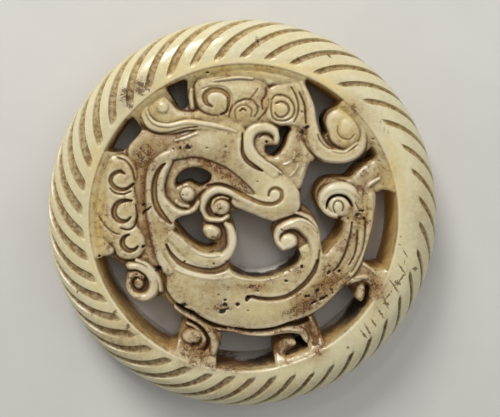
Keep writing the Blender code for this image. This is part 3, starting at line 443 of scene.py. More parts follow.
# Thin bright crests on the strands: level, then points (x, y, half width).
CRESTS = [
    (-0.04, [(-622, 705, 6), (-611, 672, 9), (-585, 638, 11), (-550, 619, 12), (-500, 611, 12),
             (-460, 614, 13), (-400, 628, 15), (-350, 634, 16), (-300, 628, 16), (-200, 612, 16),
             (-100, 588, 14), (-50, 570, 8)]),
    (-0.06, [(-200, 893, 4), (-120, 905, 8), (-40, 914, 9), (50, 908, 5)]),
    (-0.05, [(553, 458, 4), (575, 448, 7), (610, 441, 8), (645, 440, 8), (670, 455, 8), (705, 480, 7),
             (730, 497, 4)]),
    (-0.05, [(85, 405, 6), (120, 380, 9), (160, 360, 9), (200, 332, 8), (238, 303, 5)]),
    (-0.02, [(-35, 520, 4), (-38, 450, 6), (-15, 395, 7), (25, 352, 7), (70, 325, 6), (110, 306, 4)]),
    (-0.05, [(-470, -75, 4), (-440, -103, 7), (-400, -133, 9), (-360, -172, 10), (-320, -203, 10),
             (-270, -227, 10), (-220, -236, 9), (-160, -230, 6)]),
    (-0.03, [(-445, -318, 5), (-400, -342, 9), (-300, -371, 12), (-200, -385, 12), (-100, -375, 9),
             (-60, -350, 5)]),
    (-0.05, [(205, -110, 4), (222, -66, 7), (265, -38, 8), (300, -27, 8), (335, -6, 9), (370, -2, 9),
             (410, -16, 9), (445, -42, 7), (472, -75, 4)]),
    (-0.05, [(512, 150, 5), (545, 188, 8), (600, 204, 9), (655, 202, 9), (700, 182, 8), (740, 148, 7),
             (765, 118, 4)]),
    (-0.02, [(-100, -327, 5), (-75, -362, 8), (-30, -382, 9), (50, -393, 10), (130, -393, 10), (200, -377, 9),
             (250, -356, 5)]),
    (0.08, [(726, -388, 5), (765, -380, 8), (806, -388, 5)]),
    (0.12, [(205, -742, 5), (260, -734, 7), (320, -733, 7), (375, -744, 7), (402, -772, 5)]),
    (-0.03, [(-240, 172, 4), (-190, 205, 6), (-130, 200, 6), (-70, 178, 4)]),
]
# Rounded bosses: level, x, y, half length, half width, turn in degrees.
BOSSES = [
    (0.00, -520, 725, 36, 35, 0),
    (0.06, 235, 720, 38, 36, 0),
    (0.04, 655, 598, 60, 46, 85),
    (0.00, -150, 83, 45, 43, 0),
    (0.00, -212, -80, 48, 40, -30),
    (0.00, -367, 172, 42, 40, 90),
    (0.00, 285, -147, 50, 47, 0),
    (0.02, 607, 84, 36, 27, 75),
    (0.20, 768, -487, 46, 24, 75),
    (0.15, -692, -412, 32, 27, 90),
    (0.24, -345, -775, 55, 44, 0),
]
# Incised channels: depth share, then points (x, y, half width).
CHANNELS = [
    # Panel spiral, its outer line, the eye and the lines beside it
    (0.80, [(-205, 730, 6), (-243, 755, 17), (-250, 800, 22), (-215, 833, 21), (-150, 833, 19),
            (-105, 800, 17), (-100, 750, 12), (-115, 700, 9), (-150, 680, 6)]),
    (0.35, [(-300, 900, 4), (-318, 865, 7), (-316, 800, 7), (-300, 738, 7), (-266, 698, 7), (-215, 677, 6),
            (-165, 672, 4)]),
    (0.30, [(-270, 842, 4), (-220, 858, 7), (-150, 858, 7), (-108, 838, 7), (-82, 800, 7), (-77, 750, 6),
            (-96, 690, 4)]),
    (0.40, [(-100, 660, 5), (-85, 715, 7), (-50, 755, 8), (0, 775, 8), (45, 772, 8), (75, 745, 8),
            (87, 705, 7), (65, 665, 5)]),
    (0.30, [(-55, 655, 5), (-60, 700, 6), (-35, 728, 6), (5, 738, 6), (45, 712, 7), (42, 665, 5)]),
    (0.30, [(35, 778, 6), (65, 810, 7), (88, 845, 5)]),
    (0.45, [(140, 850, 6), (135, 800, 8), (113, 765, 8), (118, 710, 5)]),
    # Ring scroll and the lines round it
    (0.45, [(195, 690, 5), (220, 664, 8), (255, 667, 9), (281, 692, 9), (285, 723, 9), (268, 748, 9),
            (235, 761, 8), (200, 750, 5)]),
    (0.40, [(172, 770, 5), (200, 800, 8), (250, 801, 8), (290, 780, 8), (315, 742, 8), (321, 700, 8),
            (302, 660, 8), (258, 640, 8), (203, 645, 8), (178, 672, 7), (170, 720, 6), (175, 760, 4)]),
    (0.40, [(298, 855, 4), (330, 800, 7), (346, 740, 7), (341, 680, 7), (318, 630, 5)]),
    (0.50, [(352, 820, 5), (385, 745, 8), (391, 680, 8), (396, 622, 6)]),
    # Line under the hook strand
    (0.45, [(-657, 662, 5), (-632, 603, 7), (-600, 578, 8), (-550, 561, 8), (-500, 562, 8), (-450, 573, 8),
            (-380, 592, 8), (-300, 602, 6)]),
    # Leaf slot beside the central scroll
    (1.00, [(-12, 560, 4), (-14, 500, 7), (-12, 440, 13), (12, 390, 16), (45, 360, 16), (85, 335, 13),
            (118, 318, 5)]),
    (0.40, [(95, 535, 4), (130, 556, 6), (170, 542, 6), (192, 510, 4)]),
    # Long incised spiral on the smooth lobe
    (0.70, [(-240, 222, 9), (-160, 232, 11), (-90, 208, 13), (-20, 168, 15), (60, 128, 15), (130, 106, 15),
            (195, 107, 15), (238, 138, 15), (238, 185, 14), (200, 206, 13), (166, 190, 11), (156, 156, 7)]),
    # Leaf slot at the left
    (1.00, [(-508, 368, 4), (-532, 348, 12), (-560, 305, 17), (-577, 250, 20), (-582, 190, 22),
            (-577, 130, 23), (-560, 80, 24), (-535, 40, 22), (-505, 5, 16), (-475, -20, 8)]),
    # Slots on the body
    (1.00, [(-508, -158, 6), (-480, -215, 12), (-440, -262, 17), (-400, -292, 20), (-300, -326, 22),
            (-200, -335, 23), (-130, -312, 27), (-85, -275, 22)]),
    (0.90, [(15, -512, 9), (50, -507, 13), (100, -518, 14), (180, -523, 15), (270, -508, 16), (345, -465, 17),
            (410, -405, 18), (458, -335, 17), (480, -270, 11)]),
    # Three scrolls of the left column
    (0.90, [(-768, 302, 6), (-800, 317, 13), (-845, 295, 15), (-858, 250, 16), (-820, 208, 15),
            (-765, 202, 13), (-715, 235, 8)]),
    (0.50, [(-865, 210, 5), (-830, 178, 7), (-775, 172, 7), (-730, 188, 5)]),
    (0.50, [(-810, 405, 5), (-760, 385, 7), (-720, 330, 7), (-705, 260, 6)]),
    (0.90, [(-735, 22, 6), (-760, -2, 12), (-800, -4, 18), (-835, 25, 21), (-840, 70, 21), (-820, 108, 19),
            (-780, 128, 15), (-728, 128, 8)]),
    (0.55, [(-700, 100, 5), (-694, 40, 7), (-700, -5, 7), (-716, -42, 8), (-752, -60, 9), (-800, -50, 6)]),
    (0.30, [(-940, 30, 5), (-900, -30, 8), (-850, -75, 8), (-805, -90, 5)]),
    (0.90, [(-690, -168, 6), (-712, -190, 13), (-750, -196, 19), (-784, -170, 21), (-790, -135, 19),
            (-775, -107, 14), (-746, -92, 7)]),
    # Lines of the upper right and right scrolls
    (0.20, [(600, 606, 5), (602, 565, 8), (630, 530, 9), (680, 522, 8), (705, 550, 5)]),
    (0.30, [(590, 46, 4), (577, 75, 6), (583, 108, 7), (605, 123, 7), (632, 113, 7), (643, 85, 7),
            (636, 55, 5)]),
    # Long lines of the plume
    (0.60, [(700, -20, 6), (690, -100, 8), (670, -180, 9), (645, -250, 9), (610, -312, 8), (580, -340, 5)]),
    # Deep slots between the body and the thin strands
    (2.20, [(-440, -562, 12), (-400, -590, 15), (-340, -620, 15), (-280, -662, 13), (-200, -706, 11),
            (-120, -724, 7)]),
    (2.60, [(-60, -722, 6), (0, -735, 9), (50, -740, 10), (100, -740, 10), (160, -733, 10), (210, -723, 10),
            (255, -710, 13), (305, -697, 19), (355, -690, 25), (410, -672, 22)]),
]
# Finer incised lines than the solid's: depth share, then points (x, y, half width).
FINE_LINES = [
    (0.30, [(155, 780, 5), (152, 730, 6), (130, 690, 6), (90, 645, 5)]),
    (0.40, [(375, 530, 5), (405, 470, 6), (450, 415, 6), (500, 385, 5)]),
    (0.45, [(472, 552, 5), (483, 522, 7), (508, 490, 7), (540, 466, 7), (575, 458, 5)]),
    (0.55, [(735, -70, 5), (735, -150, 7), (718, -235, 7), (685, -300, 5)]),
    (0.45, [(788, 0, 5), (788, -100, 6), (772, -200, 7), (730, -300, 7), (700, -350, 5)]),
    (0.40, [(492, -200, 4), (486, -250, 6), (480, -290, 4)]),
    (1.50, [(533, 72, 4), (537, 105, 7), (557, 139, 9), (600, 158, 8), (648, 152, 8), (680, 126, 8),
            (702, 88, 5)]),
    (1.40, [(-370, -665, 7), (-330, -685, 10), (-285, -716, 13), (-250, -765, 14), (-235, -803, 14),
            (-242, -842, 12), (-268, -872, 8)]),
    (0.50, [(-30, 700, 5), (-8, 716, 8), (12, 702, 5)]),
    (0.40, [(-655, 40, 6), (-625, 70, 8), (-600, 92, 5)]),
    (0.30, [(765, 0, 5), (745, 60, 6), (720, 110, 5)]),
    (0.35, [(235, -60, 4), (262, -74, 8), (305, -70, 9), (350, -88, 9), (378, -120, 6)]),
    (0.30, [(540, 270, 4), (600, 262, 6), (660, 250, 5)]),
]
# Blots: x, y, half length, half width, turn in degrees, strength. Black pits first.
PITS = [
    (-145, -603, 28, 19, 30, 1.0), (-135, -560, 24, 14, 0, 0.9), (-110, -590, 14, 11, 0, 0.7),
    (-130, -525, 17, 9, 0, 0.7), (-47, -556, 18, 14, 0, 0.9), (20, -518, 24, 17, 60, 1.0),
    (20, -597, 11, 8, 0, 0.6), (85, -465, 21, 14, 0, 0.7), (40, -440, 28, 17, 0, 0.5),
    (475, -470, 18, 13, 50, 1.0), (412, -507, 24, 12, 20, 0.9), (455, -548, 31, 8, 28, 1.0),
    (515, -520, 35, 11, 28, 1.0), (555, -345, 21, 15, 60, 0.9), (620, -340, 15, 11, 0, 0.9),
    (585, -360, 14, 8, 0, 0.6), (275, -402, 15, 11, 0, 0.8), (312, -412, 9, 8, 0, 0.6),
    (570, -465, 15, 12, 0, 0.8), (580, -485, 11, 8, 0, 0.7), (375, -310, 17, 14, 60, 0.9),
    (345, -320, 11, 8, 0, 0.6), (-555, -322, 31, 24, 70, 1.0), (-405, -565, 31, 17, 20, 1.0),
    (-345, -614, 24, 15, 30, 1.0), (-360, 470, 24, 18, 0, 1.0), (-410, 465, 14, 11, 0, 0.8),
    (-240, 468, 14, 9, 0, 0.6), (-635, 65, 40, 8, 35, 1.0), (-650, 100, 13, 11, 0, 0.8),
    (-655, -172, 15, 13, 0, 0.9), (-938, -228, 13, 13, 0, 0.9), (-912, -322, 11, 17, 0, 0.9),
    (-385, -270, 13, 9, 0, 0.7), (-200, -285, 13, 8, 0, 0.6), (-120, -270, 13, 9, 0, 0.7),
    (-185, -160, 12, 9, 0, 0.8), (-175, 30, 11, 8, 0, 0.8), (-395, 165, 12, 9, 0, 0.8),
    (-235, 945, 12, 8, 0, 0.8), (-355, 845, 8, 8, 0, 0.7), (-105, 785, 9, 8, 0, 0.7),
    (175, 975, 12, 8, 0, 0.6), (827, 525, 11, 9, 0, 0.7), (872, 380, 12, 8, 0, 0.7), (765, 58, 19, 9, 0, 1.0),
    (733, 30, 18, 11, 20, 1.0), (778, 8, 12, 12, 0, 0.9), (400, 600, 24, 11, 20, 0.9),
    (372, 560, 14, 24, 0, 0.7), (145, 505, 11, 11, 0, 0.8), (115, 765, 11, 8, 0, 0.7),
    (370, 695, 9, 11, 0, 0.7), (85, 250, 7, 6, 0, 0.7), (675, 5, 8, 19, 0, 0.7), (745, -70, 8, 14, 0, 0.6),
    (-240, -585, 15, 9, 0, 0.6), (-170, -490, 12, 8, 0, 0.6), (640, -420, 14, 9, 0, 0.6),
    (800, -250, 17, 11, 40, 0.9), (-700, -352, 14, 12, 0, 0.8), (-120, 475, 12, 9, 0, 0.6),
    (-330, -825, 26, 13, 10, 0.9),
]
# Marks on the ring: strength, then degrees and thousandths of the field radius at either end, half width.
RING_MARKS = [
    (1.0, 315.6, 1130, 316.2, 1060, 10), (1.0, 317.2, 1140, 319, 1045, 9), (0.9, 320.6, 1130, 321.8, 1055, 9),
    (1.0, 324.6, 1130, 326.2, 1045, 9), (1.0, 328, 1120, 331, 1030, 9), (1.0, 334.6, 1115, 337.6, 1025, 9),
    (0.9, 341, 1115, 344, 1045, 9), (0.8, 346.5, 1100, 350, 1040, 8), (0.9, 336, 1080, 343, 1120, 9),
    (0.8, 329, 1060, 335, 1075, 8), (0.6, 350.5, 1035, 351.5, 1005, 7), (0.6, 353.5, 1035, 354.2, 1005, 7),
    (0.4, 29.5, 1060, 33.5, 1105, 7), (0.4, 31, 1045, 35.5, 1100, 7), (0.4, 35, 1050, 37, 1100, 7),
    (0.5, 343, 1085, 347, 1080, 7), (0.5, 332, 1090, 333, 1050, 7), (0.4, 95, 1200, 101, 1160, 7),
    (0.8, 127, 1085, 127.4, 1110, 34), (0.9, 128.5, 1045, 128.8, 1080, 34), (0.9, 133, 1060, 133.4, 1095, 34),
    (0.8, 134.5, 1020, 134.8, 1045, 28), (0.7, 126, 1030, 126.3, 1045, 20), (0.8, 132, 1110, 132.6, 1135, 26),
    (0.7, 136.3, 1155, 136.6, 1165, 16), (0.6, 130.5, 1085, 130.9, 1105, 24),
    (1.0, 222, 1015, 222.6, 1040, 18), (0.9, 215, 1025, 215.4, 1045, 17), (0.8, 211, 1150, 211.5, 1165, 20),
    (0.8, 207, 1180, 207.4, 1195, 16), (0.6, 85, 1110, 86.5, 1180, 24), (0.6, 71, 1080, 72, 1090, 24),
    (0.7, 62, 1180, 63.5, 1190, 16), (1.0, 337.3, 1078, 337.6, 1092, 22), (0.8, 329, 1065, 329.4, 1095, 18),
    (0.8, 343.5, 1160, 343.8, 1172, 24), (0.7, 203, 1180, 203.3, 1186, 12), (0.7, 243, 1166, 243.4, 1172, 12),
    (0.6, 253, 1125, 253.3, 1132, 12), (0.6, 308.5, 1080, 309, 1092, 18), (0.6, 160, 1250, 161, 1256, 18),
]
# Darkness of the dirt in the flutes round the ring: degrees, then shares.
FLUTE_TONES = ([0, 12, 22, 40, 48, 72, 80, 104, 120, 240, 265, 290, 317, 345, 360],
               [0.50, 0.40, 0.12, 0.12, 0.35, 0.35, 0.10, 0.10, 0.30, 0.66, 0.72, 0.85, 0.95, 0.75, 0.50])
# Brown stains; the blots at (1150, 0), (-800, -800) and (0, -1130) lie on the ring and darken its right and
# lower side as painted shade
STAINS = [
    (-660, 420, 160, 100, 40, 0.9), (-660, 150, 50, 260, 0, 0.8), (-620, -120, 60, 200, 0, 0.7),
    (-300, 380, 160, 60, -20, 0.8), (-100, 280, 180, 70, -35, 0.9), (50, 170, 80, 40, -20, 0.7),
    (-360, 470, 160, 60, 20, 0.6), (400, -550, 200, 90, 35, 0.8), (550, -400, 140, 80, 35, 0.8),
    (720, -200, 90, 240, -10, 0.7), (0, -735, 400, 30, 0, 0.9), (-330, -720, 160, 110, -40, 0.7),
    (270, -860, 160, 80, 0, 1.0), (-510, -360, 60, 110, 10, 0.7), (370, 550, 60, 90, 0, 1.0),
    (660, 60, 70, 60, 0, 0.7), (740, 300, 140, 60, 20, 0.9), (560, 265, 120, 40, 0, 0.9),
    (-880, -200, 60, 200, 0, 0.7), (860, -430, 70, 130, 0, 1.0), (130, 500, 70, 60, 0, 0.8),
    (330, 420, 70, 120, 0, 0.7), (-500, -50, 50, 60, 0, 0.7), (430, -180, 40, 120, 0, 0.6),
    (-480, 240, 50, 120, 0, 0.5), (20, -435, 230, 40, 0, 0.75), (-520, 725, 90, 90, 0, 0.4),
    (-890, 60, 50, 280, 0, 0.6), (460, -760, 50, 120, 0, 0.9), (-250, -450, 150, 70, 30, 0.5),
    (350, -520, 140, 70, 35, 0.7), (800, -60, 45, 230, 0, 0.8), (630, -200, 60, 200, -15, 0.7),
    (0, -705, 330, 26, 0, 0.9), (-330, -605, 150, 26, -28, 0.8), (350, -612, 170, 30, 32, 0.9),
    (690, -150, 110, 250, -8, 0.75), (-800, 130, 110, 260, 0, 0.62), (-300, -915, 120, 60, 20, 1.0),
    (870, 300, 90, 90, 0, 0.7), (-300, 110, 80, 90, 0, 0.8), (690, 690, 90, 80, -45, 0.6),
    (-700, -420, 130, 130, 0, 1.0), (740, 620, 80, 110, -30, 0.6), (1150, 0, 90, 220, 0, 0.30),
    (760, -60, 90, 240, 0, 0.7), (-640, 640, 120, 60, 40, 0.5), (-830, -110, 70, 60, 0, 0.5),
    (560, -330, 150, 120, 30, 0.8), (-430, 470, 150, 60, 10, 0.6), (-60, 470, 120, 70, -30, 0.55),
    (-390, -110, 110, 60, -45, 0.5), (-460, -60, 60, 80, 0, 0.6), (440, 0, 60, 110, 30, 0.5),
    (-800, -800, 260, 200, 0, 0.45), (0, -1130, 500, 90, 0, 0.35), (-160, 80, 75, 70, 0, 0.6),
    (-370, 150, 90, 90, 0, 0.6), (-180, -140, 60, 80, 0, 0.9), (310, 620, 40, 80, 0, 0.5),
    (-230, 640, 120, 20, 0, 0.5), (-640, -230, 70, 60, 0, 0.9), (-350, 280, 160, 90, 0, 0.8),
    (375, -225, 50, 100, 0, 0.85), (415, -120, 45, 60, 0, 0.8), (300, -345, 90, 50, 25, 0.75),
    (-320, -850, 130, 45, -22, 1.0), (-160, -965, 170, 32, -10, 0.9), (790, 335, 100, 50, 28, 0.95),
    (895, 260, 50, 130, 10, 0.7), (-385, 105, 90, 55, -10, 0.9), (-240, 195, 55, 45, 40, 0.75),
    (-690, -510, 110, 70, -45, 0.9), (905, -100, 45, 110, 0, 0.8), (700, 715, 90, 60, -45, 0.75),
    (485, -820, 70, 100, 0, 1.0),
]
# Polished places that have stayed clean
CLEAN = [
    (180, 200, 170, 130, -30, 0.5), (-60, 860, 170, 60, 0, 0.20), (-180, 790, 60, 60, 0, 0.3),
    (240, 720, 90, 90, 0, 0.3), (60, -610, 260, 90, 0, 0.4), (-250, 500, 120, 50, 10, 0.3),
    (650, 600, 70, 80, 0, 0.4), (620, 410, 150, 40, 0, 0.3), (25, 530, 60, 110, 0, 0.45),
    (120, 350, 120, 40, -40, 0.4), (285, -147, 70, 70, 0, 0.8), (610, 200, 110, 40, 0, 0.4),
    (605, 85, 45, 45, 0, 0.9), (-770, 60, 50, 45, 0, 0.15), (-450, 620, 190, 40, -5, 0.5),
    (-740, -140, 45, 45, 0, 0.25), (-250, -230, 180, 30, 10, 0.4), (-75, -130, 30, 100, 0, 0.4),
    (330, -10, 110, 30, 0, 0.4), (-100, 195, 130, 25, 0, 0.4), (-400, -330, 220, 50, -20, 0.2),
]
# Places where the lines have lost most of their dirt
FAINT = [
    (-20, 790, 360, 150, 0, 0.60), (250, 740, 140, 120, 0, 0.45), (170, 170, 130, 110, 0, 0.50),
]
# Amber places: the stone's own yellow tone, lightened as painted light on the rim's slopes and on the walls
# of narrow slots
AMBER_AND_PAINTED_LIGHT = [
    (0, 970, 600, 50, 0, 0.8), (-550, 800, 300, 60, 42, 0.7), (550, 800, 300, 80, -42, 0.9),
    (600, 550, 220, 180, 0, 0.5), (-940, 0, 50, 500, 0, 0.8), (950, 120, 50, 300, 0, 1.0),
    (820, 0, 60, 240, 0, 0.6), (-750, -500, 200, 120, -45, 0.5), (-780, 100, 120, 340, 0, 0.4),
    (620, -450, 160, 100, 40, 0.6), (200, 760, 140, 100, 0, 0.4), (-30, 700, 120, 60, 0, 0.6),
    (-300, 650, 200, 40, 0, 0.6),
]
# Soil and its crumbs
SOIL = [
    (-640, 400, 100, 100, 50, 0.9), (-200, 345, 150, 40, -28, 0.9), (-30, 225, 100, 35, -38, 1.0),
    (-650, 150, 30, 180, 0, 0.7), (-610, -120, 40, 190, 10, 0.8), (400, -580, 140, 40, 32, 0.9),
    (-150, -570, 80, 50, 0, 0.7), (372, 560, 40, 60, 0, 1.0), (580, -400, 110, 50, 35, 0.8),
    (-400, 480, 120, 50, 10, 0.6), (0, -740, 400, 20, 0, 0.8), (-280, -700, 150, 60, -40, 0.6),
    (400, -700, 100, 60, 0, 1.0), (830, -430, 90, 90, 0, 0.9), (770, 190, 50, 50, 0, 0.8),
    (60, -440, 90, 30, 0, 0.7), (-130, 430, 60, 60, 0, 0.5), (350, -340, 50, 40, 0, 0.7),
    (270, -850, 90, 60, 0, 0.9), (-300, -850, 90, 60, 0, 0.9), (-510, -370, 50, 90, 0, 0.6),
    (740, 20, 50, 50, 0, 0.8), (-160, 80, 60, 50, 0, 0.5), (680, -420, 60, 60, 40, 0.9),
    (-130, -440, 170, 36, 0, 0.45), (650, -170, 90, 160, -10, 0.45), (-560, 540, 140, 40, 0, 0.45),
    (-500, -60, 50, 60, 0, 0.5), (-640, 880, 75, 50, 35, 0.62), (-765, 790, 60, 60, 45, 0.62),
    (330, -520, 110, 40, 20, 0.4), (-330, -875, 130, 55, -20, 1.0), (-780, 330, 50, 40, 0, 0.4),
    (430, -545, 150, 60, 32, 1.0), (490, -440, 110, 38, 30, 0.8), (475, -800, 60, 90, 0, 1.0),
    (-160, -975, 150, 28, -10, 0.8), (340, -590, 110, 40, 25, 0.8), (120, 800, 60, 60, 0, 0.4),
]
# Where the carved grooves are dark
GROOVE_TONE = [
    (560, 110, 120, 90, 0, 0.8), (-300, -760, 150, 150, 0, 1.0), (100, -760, 500, 60, 0, 1.0),
    (0, -515, 60, 30, 0, 0.7), (-420, -590, 120, 80, 0, 1.0), (400, -700, 120, 80, 0, 1.0),
    (-500, 300, 100, 160, 0, 0.2), (840, -400, 100, 100, 0, 0.8),
]
# Painted shadow: walls of the openings made nearly black, darker further down, where the openings lie in
# shade
SHADED_WALLS = [
    (500, 640, 60, 120, 0, 1.0), (760, -640, 140, 90, 48, 1.0), (60, -1000, 300, 60, 0, 0.9),
    (300, -320, 140, 70, 35, 1.0), (60, -390, 260, 50, 0, 1.0), (-230, 320, 60, 60, 0, 0.4),
    (-720, -600, 260, 60, -50, 0.6), (290, -270, 90, 80, 40, 1.0), (250, 600, 60, 60, 0, 0.4),
    (-440, 790, 60, 60, 0, 0.6), (420, -860, 60, 60, 0, 1.0), (900, -150, 60, 60, 0, 0.3),
]
# Painted light: pale strips low on the walls, standing for light from behind the piece reflected there
BACKLIT_STRIPS = [
    (90, -390, 330, 110, 10, 1.0), (0, -990, 230, 80, 0, 1.0), (640, -750, 170, 60, 45, 0.7),
    (-640, -760, 330, 90, -40, 0.62), (-900, -400, 90, 260, 24, 0.55), (-340, -190, 100, 40, -40, 0.5),
]


def spline(points, closed, samples):
    """Catmull-Rom curve through points in thousandths, as an array of samples in shares."""
    p = np.array(points, dtype=float) / 1000.0
    if closed:
        p = np.concatenate([p[-1:], p, p[:2]])
    else:
        p = np.concatenate([2 * p[:1] - p[1:2], p, 2 * p[-1:] - p[-2:-1]])
    t = np.arange(samples)[:, None] / samples
    rows = []
    for a, b, c, d in zip(p, p[1:], p[2:], p[3:]):
        rows.append(0.5 * (2 * b + (c - a) * t + (2 * a - 5 * b + 4 * c - d) * t ** 2
                           + (3 * b - 3 * c + d - a) * t ** 3))
    return np.concatenate(rows if closed else rows + [p[-2:-1]])


def chain_distance(x, y, path, closed=False):
    """Distance from points to a chain, and the third column of the chain at the foot."""
    after = np.roll(path, -1, axis=0)
    best = np.full(x.shape, np.inf)
    value = np.zeros(x.shape)
    for p, q in list(zip(path, after))[:None if closed else -1]:
        dx, dy = q[0] - p[0], q[1] - p[1]
        length = dx * dx + dy * dy
        if length < 1e-14:
            continue
        t = np.clip(((x - p[0]) * dx + (y - p[1]) * dy) / length, 0.0, 1.0)
        dist = (x - p[0] - t * dx) ** 2 + (y - p[1] - t * dy) ** 2
        near = dist < best
        best[near] = dist[near]
        if len(p) > 2:
            value[near] = (p[2] + t * (q[2] - p[2]))[near]
    return np.sqrt(best), value


def is_inside(x, y, loop):
    """Even-odd test of points against a closed loop."""
    inside = np.zeros(x.shape, dtype=bool)
    for p, q in zip(loop, np.roll(loop, -1, axis=0)):
        if p[1] == q[1]:
            continue
        crosses = (p[1] > y) != (q[1] > y)
        inside ^= crosses & (x < (q[0] - p[0]) * (y - p[1]) / (q[1] - p[1]) + p[0])
    return inside


def near_mask(x, y, path, margin):
    """Points inside the chain's bounding box grown by a margin."""
    low, high = path[:, :2].min(axis=0) - margin, path[:, :2].max(axis=0) + margin
    return (x > low[0]) & (x < high[0]) & (y > low[1]) & (y < high[1])


def held(value):
    """Value kept from 0 to 1."""
    return np.clip(value, 0.0, 1.0)


def smooth_step(value):
    """Cubic ease of a value from 0 to 1."""
    value = held(value)
    return value * value * (3.0 - 2.0 * value)


def turned(x, y, cx, cy, turn):
    """Plan points against a centre in thousandths, turned by degrees."""
    c, s = math.cos(math.radians(turn)), math.sin(math.radians(turn))
    dx, dy = x - cx / 1000.0, y - cy / 1000.0
    return dx * c + dy * s, -dx * s + dy * c


def blended(table, i, j, fu, fv, size=None):
    """Values between the four table entries round each point."""
    i2, j2 = (i + 1, j + 1) if size is None else ((i + 1) % size, (j + 1) % size)
    low = table[j, i] * (1 - fu) + table[j, i2] * fu
    high = table[j2, i] * (1 - fu) + table[j2, i2] * fu
    return low * (1 - fv) + high * fv


def lattice_noise(x, y, cell, seed):
    """Smooth seeded noise from 0 to 1 with features about one cell wide."""
    size = 256
    table = np.random.default_rng(seed).random((size, size))
    u, v = x / cell + 91.3, y / cell + 47.7
    i, j = np.floor(u).astype(int), np.floor(v).astype(int)
    return blended(table, i % size, j % size, smooth_step(u - i), smooth_step(v - j), size)


def sampled(side, grid, points):
    """Values of a grid at plan points."""
    step = side[1] - side[0]
    u = (points[:, 0] - side[0]) / step
    v = (points[:, 1] - side[0]) / step
    i, j = np.floor(u).astype(int), np.floor(v).astype(int)
    return blended(grid, i, j, u - i, v - j)


def worn(grid, radius):
    """Grid blurred over a radius in metres."""
    reach = max(1, math.ceil(2.5 * radius / GRAIN))
    weights = np.exp(-0.5 * (np.arange(-reach, reach + 1) * GRAIN / radius) ** 2)
    weights /= weights.sum()
    for _ in range(2):
        padded = np.pad(grid, [(reach, reach), (0, 0)], mode="edge")
        grid = sum(w * padded[i:i + len(grid)] for i, w in enumerate(weights)).T
    return grid


def spot_mask(x, y, spots):
    """Union of soft blots (x, y, half length, half width, turn in degrees, strength)."""
    mask = np.zeros(x.shape)
    for cx, cy, long_half, short_half, turn, strength in spots:
        u, v = turned(x, y, cx, cy, turn)
        u, v = u * 1000.0 / long_half, v * 1000.0 / short_half
        mask = np.maximum(mask, strength * np.exp(-(u * u + v * v)))
    return mask


def ragged_pits(x, y):
    """Pits with ragged outlines: deep where both the blot and the noise are strong."""
    mask = spot_mask(x, y, PITS)
    chance = sum(share * lattice_noise(x, y, cell, seed) for share, cell, seed in PIT_NOISES)
    return held(PIT_CONTRAST * (mask + PIT_FRAY * (chance - 0.5) * (mask > PIT_FRINGE)) - PIT_LEAST)


def level_height(level):
    """Height against the ring's face for a relief level."""
    return -(BODY_DROP + level * (GROUND_DROP - BODY_DROP))


def falling_side(distance):
    """How far a side has dropped at a distance outside its form."""
    return distance * FIELD_RADIUS * SIDE_STEEPNESS


def raise_forms(x, y, height):
    """Areas, strands and bosses, each lifting the height where it stands above what is there."""
    for level, softness, rounding, outline in AREAS:
        loop = spline(outline, True, STROKE_SAMPLES)
        pick = near_mask(x, y, loop, AREA_MARGIN)
        px, py = x[pick], y[pick]
        dist, _ = chain_distance(px, py, loop, True)
        brow = level_height(level) - CREST_ROUNDING * rounding
        top = brow + CREST_ROUNDING * rounding * (1.0 - held(1.0 - dist / softness) ** 2)
        form = np.where(is_inside(px, py, loop), top, brow - falling_side(dist))
        height[pick] = np.maximum(height[pick], form)
    for level, points in STRANDS + CRESTS:
        path = spline(points, False, STROKE_SAMPLES)
        pick = near_mask(x, y, path, STRAND_MARGIN)
        dist, half = chain_distance(x[pick], y[pick], path)
        top = level_height(level) - CREST_ROUNDING * held(dist / half) ** STRAND_FLATNESS
        form = top - falling_side(np.maximum(dist - half, 0.0))
        height[pick] = np.maximum(height[pick], form)
    for level, cx, cy, long_half, short_half, turn in BOSSES:
        u, v = turned(x, y, cx, cy, turn)
        q = np.hypot(u * 1000.0 / long_half, v * 1000.0 / short_half)
        outside = np.maximum(q - 1.0, 0.0) * short_half / 1000.0
        top = level_height(level) - CREST_ROUNDING * np.minimum(q, 1.0) ** BOSS_FLATNESS
        height[:] = np.maximum(height, top - falling_side(outside))


def cut_lines(x, y, height):
    """Channels and incised lines cut into the height; returns masks of groove floors and dark lines."""
    floor, line = np.zeros(x.shape), np.zeros(x.shape)
    for depth, points in CHANNELS + FINE_LINES:
        path = spline(points, False, STROKE_SAMPLES)
        pick = near_mask(x, y, path, LINE_MARGIN)
        dist, half = chain_distance(x[pick], y[pick], path)
        cut = smooth_step((half - dist) / (CHANNEL_SIDE * half))
        height[pick] -= CHANNEL_DEPTH * depth * cut
        wide = smooth_step((half - CHANNEL_REACH) / CHANNEL_WIDENING)
        strength = min(1.0, LINE_DARK_LEAST + depth * LINE_DARK_GAIN)
        floor[pick] = np.maximum(floor[pick], cut * wide)
        sides = cut * (1.0 - wide) + GROOVE_SIDE_DIRT * cut * (1.0 - cut) * wide
        line[pick] = np.maximum(line[pick], strength * sides)
    return floor, np.minimum(line, 1.0)


def sharp_relief(x, y):
    """Height of the carved front against the ring's face before wear, with its masks."""
    radius = np.hypot(x, y)
    inward = smooth_step((1.0 - radius) * FIELD_RADIUS / RIM_SLOPE)
    height = -RIM_STEP - (GROUND_DROP - RIM_STEP) * inward
    raise_forms(x, y, height)
    floor, line = cut_lines(x, y, height)
    return np.where(radius >= 1.0, 0.0, np.minimum(height, 0.0)), floor, line


def eased_edges(x, y, loops):
    """How far the edges beside the openings are rounded off."""
    away = np.full(x.shape, EDGE_MARGIN)
    for loop in loops:
        pick = near_mask(x, y, loop, EDGE_MARGIN)
        px, py = x[pick], y[pick]
        dist, _ = chain_distance(px, py, loop, True)
        away[pick] = np.minimum(away[pick], np.where(is_inside(px, py, loop), 0.0, dist))
    return EDGE_ROUNDING * held(1.0 - away / (EDGE_WIDTH / FIELD_RADIUS)) ** 2


